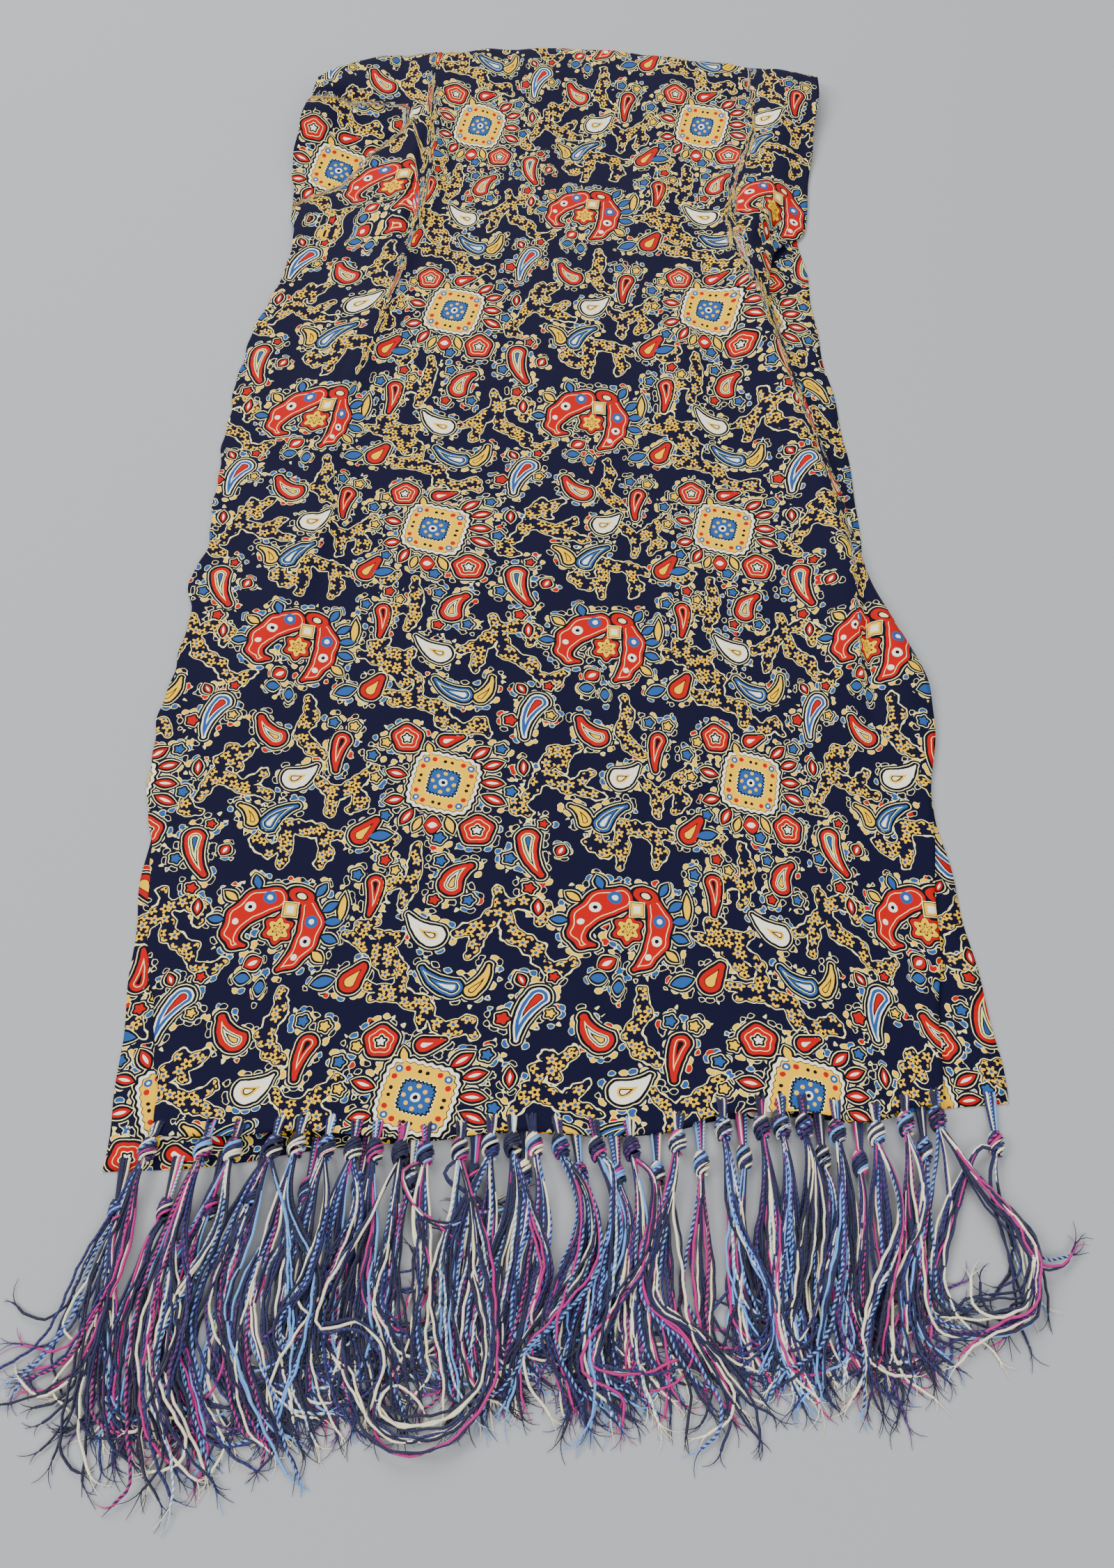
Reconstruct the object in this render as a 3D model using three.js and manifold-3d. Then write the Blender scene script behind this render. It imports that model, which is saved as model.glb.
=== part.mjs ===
// A paisley scarf of thin rayon crepe, folded once across its length and laid flat on a surface.
// The upper leaf lies on the under leaf and turns down to the surface at the far fold. Knotted yarn
// tassels hang from both near hems and lie on the surface in two layers.
// Millimetres, +Z up, fold towards +Y. The origin is on the flat underside, in the middle of the cloth.
import * as THREE from 'three';
import { mergeVertices } from 'three/addons/utils/BufferGeometryUtils.js';
import Module from 'manifold-3d';

const wasm = await Module();
wasm.setup();

// Driving sizes
const wall = 1.2; // the cloth, with its crepe surface and hem taken up
const seam = 0.3; // between pieces that touch
const hemY = -292; // the upper leaf's near hem at x = 0; t below counts from here towards the fold
const rowLength = 571; // from the hem to where the fold starts to turn down, at x = 0
const foldReach = 6; // how far the fold bulges past that
const foldTuck = 8; // the turned-in stretch that lies flat under the fold
const riseLength = 75; // the upper leaf lifts over this length before the fold
const hemLiftLength = 45; // a lifted stretch of hem settles over this length
const underLeafMiddle = wall / 2;
const upperLeafMiddle = wall + seam + wall / 2;
const leafMiddles = { upper: upperLeafMiddle, under: underLeafMiddle };

// Side edges of both leaves, from the hem to the fold
const edges = [
  { t: 0, underLeft: -150.5, upperLeft: -136, upperRight: 130, underRight: 153 },
  { t: 18, underLeft: -150, upperLeft: -135.5, upperRight: 132, underRight: 152.5 },
  { t: 36, underLeft: -150, upperLeft: -139, upperRight: 133.5, underRight: 151 },
  { t: 57, underLeft: -151, upperLeft: -143, upperRight: 136.5, underRight: 148.5 },
  { t: 86, underLeft: -151.5, upperLeft: -148, upperRight: 138.5, underRight: 146 },
  { t: 112, underLeft: -153, upperLeft: -149.5, upperRight: 141, underRight: 143 },
  { t: 133, underLeft: -152, upperLeft: -154, upperRight: 143, underRight: 142 },
  { t: 155, underLeft: -151, upperLeft: -156, upperRight: 147, underRight: 142 },
  { t: 178, underLeft: -150, upperLeft: -156, upperRight: 148, underRight: 141 },
  { t: 207, underLeft: -147, upperLeft: -152.5, upperRight: 137, underRight: 134 },
  { t: 232, underLeft: -146, upperLeft: -149, upperRight: 128, underRight: 130 },
  { t: 252, underLeft: -149, upperLeft: -153, upperRight: 124.5, underRight: 128 },
  { t: 268, underLeft: -144, upperLeft: -147, upperRight: 123.5, underRight: 128 },
  { t: 286, underLeft: -143, upperLeft: -147, upperRight: 119, underRight: 128.5 },
  { t: 332, underLeft: -143, upperLeft: -147, upperRight: 110, underRight: 126 },
  { t: 372, underLeft: -141, upperLeft: -145.5, upperRight: 102, underRight: 122 },
  { t: 400, underLeft: -138, upperLeft: -143, upperRight: 97.5, underRight: 120 },
  { t: 420, underLeft: -135, upperLeft: -139, upperRight: 99, underRight: 120 },
  { t: 438, underLeft: -128, upperLeft: -133, upperRight: 104, underRight: 119 },
  { t: 450, underLeft: -123, upperLeft: -128, upperRight: 121, underRight: 117 },
  { t: 470, underLeft: -123, upperLeft: -128, upperRight: 123, underRight: 118 },
  { t: 500, underLeft: -126, upperLeft: -131, upperRight: 127, underRight: 121 },
  { t: 530, underLeft: -126, upperLeft: -132, upperRight: 131, underRight: 124 },
  { t: 551, underLeft: -122, upperLeft: -130, upperRight: 135, underRight: 127 },
  { t: 571, underLeft: -114, upperLeft: -121, upperRight: 136, underRight: 128 },
];

// The near hems across the width: where each lies along t, and how far the upper one lifts
const hems = [
  { x: -152, upper: -1, under: -12.5, lift: 0 },
  { x: -122, upper: -1, under: -11.5, lift: 0 },
  { x: -105, upper: -1, under: -9.5, lift: 1 },
  { x: -86, upper: 0.5, under: -6, lift: 3 },
  { x: -65, upper: -1, under: -3.5, lift: 1.5 },
  { x: -44, upper: -2.5, under: -2.5, lift: 0 },
  { x: -14, upper: 1, under: 1, lift: 0.5 },
  { x: 16, upper: -1, under: -1, lift: 0 },
  { x: 36, upper: 0, under: 0, lift: 0.5 },
  { x: 54, upper: 6, under: 5, lift: 2.5 },
  { x: 84, upper: 7, under: 6, lift: 2.5 },
  { x: 103, upper: 3, under: 3, lift: 1 },
  { x: 121, upper: 9, under: 8, lift: 0.5 },
  { x: 153, upper: 11, under: 10.5, lift: 0 },
];

// The fold across the width: its start along t, and the height of its roll
const foldLine = [
  { x: -135, t: 518, height: 14 },
  { x: -125, t: 535, height: 15 },
  { x: -111, t: 547, height: 15 },
  { x: -87, t: 559, height: 13 },
  { x: -37, t: 569, height: 10 },
  { x: 0, t: 571, height: 10 },
  { x: 38, t: 567, height: 10 },
  { x: 74, t: 560, height: 9.5 },
  { x: 110, t: 554, height: 9 },
  { x: 137, t: 549, height: 8 },
];

// The largest pleats of the upper leaf, each along its crest
const pleats = {
  left: [
    { t: 140, x: -119, height: 0, width: 10 },
    { t: 180, x: -117, height: 2, width: 10 },
    { t: 225, x: -110, height: 3, width: 10 },
    { t: 262, x: -101, height: 3.5, width: 10 },
    { t: 320, x: -103, height: 3, width: 11 },
    { t: 360, x: -92, height: 3, width: 11 },
    { t: 405, x: -83, height: 4, width: 12 },
    { t: 450, x: -76, height: 6, width: 13 },
    { t: 492, x: -72, height: 7, width: 15 },
    { t: 530, x: -70, height: 3, width: 20 },
    { t: 571, x: -68, height: 0, width: 24 },
  ],
  right: [
    { t: 165, x: 121, height: 0, width: 10 },
    { t: 200, x: 117, height: 4, width: 9 },
    { t: 235, x: 117, height: 6, width: 9 },
    { t: 286, x: 110, height: 6, width: 9 },
    { t: 332, x: 101, height: 6, width: 9 },
    { t: 380, x: 91, height: 7, width: 10 },
    { t: 422, x: 88, height: 9, width: 12 },
    { t: 445, x: 92, height: 9, width: 13 },
    { t: 480, x: 101, height: 6, width: 14 },
    { t: 520, x: 110, height: 3, width: 14 },
    { t: 571, x: 118, height: 0, width: 14 },
  ],
  flap: [
    { t: 150, x: 138, height: 0, width: 8 },
    { t: 180, x: 140, height: 4, width: 8 },
    { t: 205, x: 132.5, height: 5, width: 6 },
    { t: 236, x: 128, height: 0, width: 6 },
  ],
  middle: [
    { t: 285, x: 53, height: 0, width: 9 },
    { t: 320, x: 56, height: 2, width: 9 },
    { t: 355, x: 59, height: 2, width: 9 },
    { t: 400, x: 60, height: 0, width: 9 },
  ],
};

// Where the grids of the two leaves have their columns and rows
const upperColumns = [
  0, 0.03, 0.065, 0.1, 0.135, 0.17, 0.205, 0.24, 0.28, 0.33, 0.39, 0.45, 0.51,
  0.57, 0.63, 0.69, 0.74, 0.79, 0.83, 0.865, 0.895, 0.92, 0.945, 0.97, 1,
];
const underColumns = 12;
const turnSteps = 6; // around the fold

// Tassels. x at the hem, at two distances down the yarn's run and at the tip, and how far down the tip lies
const upperTassels = [
  { hem: -134.5, at30: -145, at65: -161, tip: -174, run: 80 },
  { hem: -116.5, at30: -124, at65: -131, tip: -126, run: 106 },
  { hem: -106.5, at30: -115.5, at65: -121, tip: -108, run: 103 },
  { hem: -93, at30: -104, at65: -110, tip: -96, run: 100 },
  { hem: -85.5, at30: -93, at65: -98, tip: -86, run: 106 },
  { hem: -75.8, at30: -82, at65: -86, tip: -76, run: 98 },
  { hem: -67, at30: -72, at65: -75, tip: -67, run: 94 },
  { hem: -60, at30: -63, at65: -65, tip: -58, run: 90 },
  { hem: -51.5, at30: -54, at65: -55, tip: -49, run: 92 },
  { hem: -43.5, at30: -44, at65: -46, tip: -40, run: 84 },
  { hem: -32, at30: -33, at65: -36, tip: -31, run: 90 },
  { hem: -22, at30: -22, at65: -27, tip: -22.5, run: 91 },
  { hem: -15, at30: -12.5, at65: -18.5, tip: -15, run: 85 },
  { hem: -8, at30: -3, at65: -10.5, tip: -8, run: 88 },
  { hem: 0.5, at30: 8, at65: -1, tip: 0.5, run: 84 },
  { hem: 13, at30: 18, at65: 9, tip: 13.5, run: 92 },
  { hem: 24.5, at30: 27, at65: 20, tip: 26, run: 88 },
  { hem: 40.5, at30: 36, at65: 37, tip: 54, run: 93 },
  { hem: 55.5, at30: 56, at65: 57, tip: 65, run: 78 },
  { hem: 68.5, at30: 68, at65: 66, tip: 72, run: 90 },
  { hem: 75, at30: 76, at65: 74, tip: 79, run: 92 },
  { hem: 82.5, at30: 84, at65: 81, tip: 87, run: 86 },
  { hem: 93.5, at30: 92, at65: 89, tip: 95, run: 88 },
  { hem: 106.8, at30: 103, at65: 100, tip: 103, run: 92 },
  { hem: 117, at30: 114, at65: 110, tip: 114, run: 88 },
  { hem: 127.5, at30: 127, at65: 122, tip: 130, run: 86 },
];
const underTassels = [
  { hem: -143.3, at30: -143, at65: -142, tip: -140, run: 94 },
  { hem: -126, at30: -131, at65: -135, tip: -133, run: 90 },
  { hem: -111, at30: -118, at65: -122, tip: -118, run: 92 },
  { hem: -97, at30: -106, at65: -110, tip: -104, run: 88 },
  { hem: -80, at30: -87, at65: -90, tip: -85, run: 92 },
  { hem: -63.5, at30: -68, at65: -70, tip: -66, run: 86 },
  { hem: -47.5, at30: -50, at65: -51, tip: -46, run: 84 },
  { hem: -27, at30: -28, at65: -31, tip: -28, run: 86 },
  { hem: -11.5, at30: -9, at65: -14, tip: -12, run: 84 },
  { hem: 6.5, at30: 11, at65: 6, tip: 7, run: 86 },
  { hem: 19, at30: 23, at65: 17, tip: 20, run: 82 },
  { hem: 33, at30: 33, at65: 32, tip: 40, run: 88 },
  { hem: 48, at30: 47, at65: 48, tip: 54, run: 80 },
  { hem: 62, at30: 62, at65: 61, tip: 66, run: 84 },
  { hem: 88, at30: 88, at65: 86, tip: 90, run: 82 },
  { hem: 101, at30: 98, at65: 95, tip: 98, run: 84 },
  { hem: 122.5, at30: 121, at65: 117, tip: 122, run: 80 },
  { hem: 146.5, at30: 145, at65: 150, tip: 156, run: 76 },
];
// A tassel's head: rings down its length, with their radius and height over the surface
const knots = {
  upper: {
    rings: [
      { down: 0, radius: 0.9, z: 2.9 },
      { down: 2.5, radius: 2.2, z: 4.3 },
      { down: 6, radius: 2.3, z: 4.9 },
      { down: 9, radius: 1.5, z: 5.4 },
    ],
    rootRing: 2,
  },
  under: {
    rings: [
      { down: 0, radius: 0.55, z: 0.95 },
      { down: 9.5, radius: 0.6, z: 1.0 },
      { down: 12, radius: 1.9, z: 2.4 },
      { down: 15.5, radius: 2.0, z: 2.5 },
      { down: 18.5, radius: 1.3, z: 2.0 },
    ],
    rootRing: 3,
  },
};
const knotSides = 6;
// Where each layer's strands run: their height at distances down, as shares of the run
const strandHeights = {
  upper: [
    { at: 0, z: 5.1 },
    { at: 0.12, z: 6.4 },
    { at: 0.24, z: 6.2 },
    { at: 0.38, z: 3.6 },
    { at: 0.9, z: 3.4 },
    { at: 1, z: 2.6 },
  ],
  under: [
    { at: 0, z: 2.4 },
    { at: 0.2, z: 1.1 },
    { at: 1, z: 1.0 },
  ],
};
// Strands of one tassel: how far beside its middle and above its lower pair each runs
const strandPlaces = {
  upper: [
    { side: -1.35, up: 0 },
    { side: 1.35, up: 0 },
    { side: -1.1, up: 2.3 },
    { side: 1.3, up: 2.3 },
  ],
  under: [
    { side: -2.4, up: 0 },
    { side: 0, up: 0 },
    { side: 2.4, up: 0 },
  ],
};
const strandRadius = 1.1;
const strandTipRadius = 0.5;
const strandSteps = 5;

const navyCrepe = { color: 0x1f2350, roughness: 0.85, metalness: 0, side: THREE.DoubleSide };
const twistedYarn = { color: 0x34366b, roughness: 0.7, metalness: 0 };

// The value of a column at a place along a table, straight between its rows
function along(table, key, at, column) {
  if (at <= table[0][key]) return table[0][column];
  for (let i = 1; i < table.length; i += 1) {
    const before = table[i - 1];
    const after = table[i];
    if (at <= after[key]) {
      const share = (at - before[key]) / (after[key] - before[key]);
      return before[column] + (after[column] - before[column]) * share;
    }
  }
  return table[table.length - 1][column];
}

const smooth = (share) => {
  const held = Math.min(Math.max(share, 0), 1);
  return held * held * (3 - 2 * held);
};

// The height that all pleats add at one place of the upper leaf
function pleatHeight(x, t) {
  return Object.values(pleats).reduce((sum, rows) => {
    const away = (x - along(rows, 't', t, 'x')) / along(rows, 't', t, 'width');
    return sum + along(rows, 't', t, 'height') * Math.exp(-away * away);
  }, 0);
}

// Height of the upper leaf's middle, short of the fold
function upperLeafHeight(x, t, foldStart) {
  const roll = along(foldLine, 'x', x, 'height') - wall / 2 - upperLeafMiddle;
  const rise = smooth((t - foldStart + riseLength) / riseLength);
  const fromHem = t - along(hems, 'x', x, 'upper');
  const lift = along(hems, 'x', x, 'lift') * (1 - smooth(fromHem / hemLiftLength));
  return upperLeafMiddle + roll * rise + pleatHeight(x, t) + lift;
}

// A point of the upper leaf's middle surface: flat rows first, then round the fold and under it
function upperLeafPoint(column, row, flatRows) {
  const rowT = flatRows[Math.min(row, flatRows.length - 1)];
  const left = along(edges, 't', rowT, 'upperLeft');
  const right = along(edges, 't', rowT, 'upperRight');
  const x = left + (right - left) * column;
  const hem = along(hems, 'x', x, 'upper');
  const foldStart = along(foldLine, 'x', x, 't');
  if (row < flatRows.length) {
    const t = hem + ((foldStart - hem) * rowT) / rowLength;
    return new THREE.Vector3(x, hemY + t, upperLeafHeight(x, t, foldStart));
  }
  const top = upperLeafHeight(x, foldStart, foldStart);
  const turned = Math.min(row - flatRows.length + 1, turnSteps);
  const angle = (Math.PI * turned) / turnSteps;
  const z = (top + underLeafMiddle) / 2 + ((top - underLeafMiddle) / 2) * Math.cos(angle);
  const tucked = row - flatRows.length + 1 > turnSteps ? foldTuck : 0;
  const t = foldStart + foldReach * Math.sin(angle) - tucked;
  return new THREE.Vector3(x, hemY + t, tucked ? underLeafMiddle : z);
}

// A point of the flat under leaf, which ends short of the tucked fold
function underLeafPoint(column, rowT) {
  const left = along(edges, 't', rowT, 'underLeft');
  const right = along(edges, 't', rowT, 'underRight');
  const x = left + (right - left) * column;
  const hem = along(hems, 'x', x, 'under');
  const end = along(foldLine, 'x', x, 't') - foldTuck - seam;
  const t = hem + ((end - hem) * rowT) / rowLength;
  return new THREE.Vector3(x, hemY + t, underLeafMiddle);
}

// A closed wall of even thickness on a grid of middle points, rows[row][column]
function wallGeometry(rows) {
  const rowCount = rows.length;
  const columnCount = rows[0].length;
  const positions = [];
  const pick = (r, c) => rows[Math.min(Math.max(r, 0), rowCount - 1)][Math.min(Math.max(c, 0), columnCount - 1)];
  for (const side of [1, -1]) {
    for (let r = 0; r < rowCount; r += 1) {
      for (let c = 0; c < columnCount; c += 1) {
        const across = pick(r, c + 1).clone().sub(pick(r, c - 1));
        const onward = pick(r + 1, c).clone().sub(pick(r - 1, c));
        const normal = across.cross(onward).normalize();
        const point = rows[r][c].clone().addScaledVector(normal, (side * wall) / 2);
        positions.push(point.x, point.y, point.z);
      }
    }
  }
  const top = (r, c) => r * columnCount + c;
  const bottom = (r, c) => rowCount * columnCount + r * columnCount + c;
  const triangles = [];
  const quad = (a, b, c, d) => triangles.push(a, b, c, a, c, d);
  for (let r = 0; r + 1 < rowCount; r += 1) {
    for (let c = 0; c + 1 < columnCount; c += 1) {
      quad(top(r, c), top(r, c + 1), top(r + 1, c + 1), top(r + 1, c));
      quad(bottom(r, c), bottom(r + 1, c), bottom(r + 1, c + 1), bottom(r, c + 1));
    }
  }
  const lastRow = rowCount - 1;
  const lastColumn = columnCount - 1;
  for (let r = 0; r < lastRow; r += 1) {
    quad(top(r, 0), top(r + 1, 0), bottom(r + 1, 0), bottom(r, 0));
    quad(top(r, lastColumn), bottom(r, lastColumn), bottom(r + 1, lastColumn), top(r + 1, lastColumn));
  }
  for (let c = 0; c < lastColumn; c += 1) {
    quad(top(0, c), bottom(0, c), bottom(0, c + 1), top(0, c + 1));
    quad(top(lastRow, c), top(lastRow, c + 1), bottom(lastRow, c + 1), bottom(lastRow, c));
  }
  return shape(positions, triangles);
}

function shape(positions, triangles) {
  const geometry = new THREE.BufferGeometry();
  geometry.setAttribute('position', new THREE.Float32BufferAttribute(positions, 3));
  geometry.setIndex(triangles);
  geometry.computeVertexNormals();
  return geometry;
}

// A closed tube through rings of { centre, radius }, each ring upright across the run along -Y
function ringTube(rings, sides, firstAngle) {
  const positions = [];
  rings.forEach(({ centre, radius }, k) => {
    const before = rings[Math.max(k - 1, 0)].centre;
    const after = rings[Math.min(k + 1, rings.length - 1)].centre;
    const heading = Math.atan2(after.x - before.x, before.y - after.y);
    for (let i = 0; i < sides; i += 1) {
      const angle = firstAngle + (2 * Math.PI * i) / sides;
      const aside = Math.cos(angle) * radius;
      positions.push(centre.x + aside * Math.cos(heading), centre.y + aside * Math.sin(heading));
      positions.push(centre.z + Math.sin(angle) * radius);
    }
  });
  const triangles = [];
  for (let k = 0; k + 1 < rings.length; k += 1) {
    for (let i = 0; i < sides; i += 1) {
      const j = (i + 1) % sides;
      const [a, b] = [k * sides + i, k * sides + j];
      triangles.push(a, b, b + sides, a, b + sides, a + sides);
    }
  }
  const last = (rings.length - 1) * sides;
  for (let i = 1; i + 1 < sides; i += 1) {
    triangles.push(0, i + 1, i, last, last + i, last + i + 1);
  }
  return shape(positions, triangles);
}

function solidOf(geometry) {
  const bare = geometry.clone();
  bare.deleteAttribute('normal');
  const merged = mergeVertices(bare, 1e-5);
  return new wasm.Manifold(new wasm.Mesh({
    numProp: 3,
    vertProperties: new Float32Array(merged.attributes.position.array),
    triVerts: new Uint32Array(merged.index.array),
  }));
}

function geometryOf(solid) {
  const mesh = solid.getMesh();
  return shape(Array.from(mesh.vertProperties), Array.from(mesh.triVerts));
}

// x of a tassel's middle at a distance down its run, on a smooth curve through its row's four places
function tasselCurve(row) {
  return new THREE.CatmullRomCurve3([
    new THREE.Vector3(row.hem, 0, 0),
    new THREE.Vector3(row.at30, -30, 0),
    new THREE.Vector3(row.at65, -65, 0),
    new THREE.Vector3(row.tip, -row.run, 0),
  ]);
}

// One tassel: its knotted head with the strands fused into it. hemPoints is its leaf's near edge
function tasselGeometry(row, layer, hemPoints) {
  const knot = knots[layer];
  const topRadius = knot.rings[0].radius;
  const nearest = [-topRadius, 0, topRadius].map((aside) => along(hemPoints, 'x', row.hem + aside, 'y'));
  const hem = Math.min(...nearest) - seam;
  const hemLift = along(hemPoints, 'x', row.hem, 'z') - leafMiddles[layer];
  const deep = knot.rings[knot.rings.length - 1].down;
  const curve = tasselCurve(row);
  const headRings = knot.rings.map(({ down, radius, z }) => ({
    centre: new THREE.Vector3(row.hem, hem - down, z + hemLift * (1 - down / deep)),
    radius,
  }));
  let tassel = solidOf(ringTube(headRings, knotSides, Math.PI / knotSides));
  const root = knot.rings[knot.rootRing];
  strandPlaces[layer].forEach(({ side, up }, k) => {
    const rings = [];
    const shortened = 1 - 0.06 * ((k * 2) % 3);
    for (let i = 0; i <= strandSteps; i += 1) {
      const share = (i / strandSteps) * shortened;
      const onCurve = curve.getPointAt(share);
      const spread = smooth(share / 0.16);
      const y = hem - root.down + onCurve.y * (1 - root.down / row.run);
      rings.push({
        centre: new THREE.Vector3(
          onCurve.x + side * (0.35 + 0.65 * spread),
          y,
          along(strandHeights[layer], 'at', share, 'z') + up * (0.2 + 0.8 * spread),
        ),
        radius: strandRadius + (strandTipRadius - strandRadius) * (i / strandSteps) ** 2,
      });
    }
    tassel = tassel.add(solidOf(ringTube(rings, 3, Math.PI / 2)));
  });
  return geometryOf(tassel);
}

const scarf = new THREE.Group();

function addPiece(name, geometry, finish) {
  const mesh = new THREE.Mesh(geometry, new THREE.MeshStandardMaterial(finish));
  mesh.name = name;
  scarf.add(mesh);
}

const flatRows = edges.map(({ t }) => t);
const upperRows = [];
for (let row = 0; row < flatRows.length + turnSteps + 1; row += 1) {
  upperRows.push(upperColumns.map((column) => upperLeafPoint(column, row, flatRows)));
}
addPiece('upper_leaf', wallGeometry(upperRows), navyCrepe);

const underRows = flatRows.map((rowT) => {
  const row = [];
  for (let c = 0; c <= underColumns; c += 1) row.push(underLeafPoint(c / underColumns, rowT));
  return row;
});
addPiece('under_leaf', wallGeometry(underRows), navyCrepe);

upperTassels.forEach((row, k) => {
  addPiece(`upper_tassel_${String(k + 1).padStart(2, '0')}`, tasselGeometry(row, 'upper', upperRows[0]), twistedYarn);
});
underTassels.forEach((row, k) => {
  addPiece(`under_tassel_${String(k + 1).padStart(2, '0')}`, tasselGeometry(row, 'under', underRows[0]), twistedYarn);
});

export default scarf;
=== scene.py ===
import math
import random
import time
from functools import partialmethod

import bpy
import numpy as np
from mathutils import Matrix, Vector


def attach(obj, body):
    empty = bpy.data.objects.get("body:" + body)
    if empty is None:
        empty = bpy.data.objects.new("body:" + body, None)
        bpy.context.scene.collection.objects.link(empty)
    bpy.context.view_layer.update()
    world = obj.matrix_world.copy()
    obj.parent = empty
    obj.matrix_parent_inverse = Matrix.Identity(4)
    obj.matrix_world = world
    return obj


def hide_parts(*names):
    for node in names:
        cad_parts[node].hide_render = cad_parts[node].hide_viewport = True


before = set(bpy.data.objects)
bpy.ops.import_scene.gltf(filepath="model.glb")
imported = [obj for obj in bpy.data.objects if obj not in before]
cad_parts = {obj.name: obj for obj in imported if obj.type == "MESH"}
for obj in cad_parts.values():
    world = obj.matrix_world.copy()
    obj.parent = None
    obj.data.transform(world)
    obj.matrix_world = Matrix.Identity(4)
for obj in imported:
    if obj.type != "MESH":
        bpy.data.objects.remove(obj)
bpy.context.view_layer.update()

mm = 0.001


# Camera, surface and light

view = {"place": (0, -0.412, 0.4624), "tilt": 28.8, "lens": 31.7, "sensor": 36, "nearest": 0.02}
lamps = [
    {"name": "far_window", "place": (-0.35, 1.5, 1.5), "aim": (0, 0.1, 0), "size": 1.5, "power": 33},
    {"name": "left_softbox", "place": (-1.5, -0.1, 1.5), "aim": (0, 0, 0), "size": 1.2, "power": 28},
    {"name": "near_fill", "place": (0.7, -1.5, 1.6), "aim": (0, -0.1, 0), "size": 1.6, "power": 30},
]
studio = {"floorHalf": 3, "air": (0.86, 0.9, 1.0, 1), "glow": 0.45}
floorLook = {"Base Color": (0.40, 0.41, 0.42, 1), "Roughness": 0.75}


def placed(name, data):
    made = bpy.data.objects.new(name, data)
    bpy.context.scene.collection.objects.link(made)
    return made


def makeCamera():
    data = bpy.data.cameras.new("camera")
    data.lens = view["lens"]
    data.sensor_width = view["sensor"]
    data.clip_start = view["nearest"]
    camera = placed("camera", data)
    camera.location = view["place"]
    camera.rotation_euler = (math.radians(view["tilt"]), 0, 0)
    bpy.context.scene.camera = camera


def makeLamp(entry):
    data = bpy.data.lights.new(entry["name"], "AREA")
    data.shape = "DISK"
    data.size = entry["size"]
    data.energy = entry["power"]
    lamp = placed(entry["name"], data)
    lamp.location = entry["place"]
    toward = Vector(entry["aim"]) - Vector(entry["place"])
    lamp.rotation_euler = toward.to_track_quat("-Z", "Y").to_euler()


def meshObject(name, points, faces, smooth=True):
    mesh = bpy.data.meshes.new(name)
    mesh.from_pydata([tuple(p) for p in points], [], faces)
    mesh.update()
    if smooth:
        mesh.polygons.foreach_set("use_smooth", [True] * len(mesh.polygons))
    return placed(name, mesh)


# A node socket that arithmetic can be done on

class Wire:
    def __init__(self, tree, socket):
        self.tree = tree
        self.socket = socket

    def node(self, kind, inputs, key=0, **settings):
        # Adds a node to the same tree and gives one of its outputs
        made = self.tree.nodes.new(kind)
        for name, value in settings.items():
            setattr(made, name, value)
        for name, value in inputs.items():
            if isinstance(value, Wire):
                self.tree.links.new(value.socket, made.inputs[name])
            else:
                made.inputs[name].default_value = value
        return Wire(self.tree, made.outputs[key])

    def output(self, key):
        # Another output of the same node
        return Wire(self.tree, self.socket.node.outputs[key])

    def math(self, operation, *values):
        return self.node("ShaderNodeMath", dict(enumerate((self,) + values)), operation=operation)

    def flipped(self, operation, value):
        return self.node("ShaderNodeMath", {0: value, 1: self}, operation=operation)

    def vector(self, operation, *values, result=0):
        inputs = dict(enumerate((self,) + values))
        return self.node("ShaderNodeVectorMath", inputs, result, operation=operation)

    def dot(self, direction):
        return self.vector("DOT_PRODUCT", direction, result=1)

    def scaled(self, direction):
        return self.node("ShaderNodeVectorMath", {0: direction, 3: self}, operation="SCALE")

    def held(self):
        return self.node("ShaderNodeClamp", {0: self})

    __add__ = __radd__ = partialmethod(math, "ADD")
    __mul__ = __rmul__ = partialmethod(math, "MULTIPLY")
    __sub__ = partialmethod(math, "SUBTRACT")
    __rsub__ = partialmethod(flipped, "SUBTRACT")
    __truediv__ = partialmethod(math, "DIVIDE")
    __rtruediv__ = partialmethod(flipped, "DIVIDE")
    __neg__ = partialmethod(math, "MULTIPLY", -1.0)
    __abs__ = partialmethod(math, "ABSOLUTE")
    __lt__ = partialmethod(math, "LESS_THAN")
    __gt__ = partialmethod(math, "GREATER_THAN")


def principled(tree, constants):
    surface = tree.nodes.new("ShaderNodeBsdfPrincipled")
    for name, value in constants.items():
        surface.inputs[name].default_value = value
    return surface


def newMaterial(name, constants):
    material = bpy.data.materials.new(name)
    material.use_nodes = True
    tree = material.node_tree
    tree.nodes.clear()
    output = tree.nodes.new("ShaderNodeOutputMaterial")
    surface = principled(tree, constants)
    tree.links.new(surface.outputs[0], output.inputs[0])
    return material, tree, surface


def linearInks(colours):
    # Display values from 0 to 255 become linear light, by the usual display curve
    def linear(c):
        return c / 255 / 12.92 if c <= 10 else ((c / 255 + 0.055) / 1.055) ** 2.4

    return {name: tuple(linear(c) for c in colour) + (1.0,) for name, colour in colours.items()}


def mixed(factor, below, above):
    return factor.node("ShaderNodeMix", {0: factor, 6: below, 7: above}, 2, data_type="RGBA")


# The print. One repeat is a square; places in it are millimetres from the middle of its medallion

repeat = 127.0
ink = linearInks({
    "ground": (6, 5, 40), "gold": (255, 196, 4), "cream": (255, 244, 160), "red": (190, 10, 5),
    "blue": (40, 84, 148), "white": (255, 246, 224), "black": (4, 4, 16),
})
crepeLook = {"Roughness": 0.8, "Specular IOR Level": 0.16, "Sheen Weight": 0.02}
weave, weaveBump = {"Scale": 1.9, "Detail": 2.0}, {"Strength": 0.5, "Distance": 0.00012}
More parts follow.
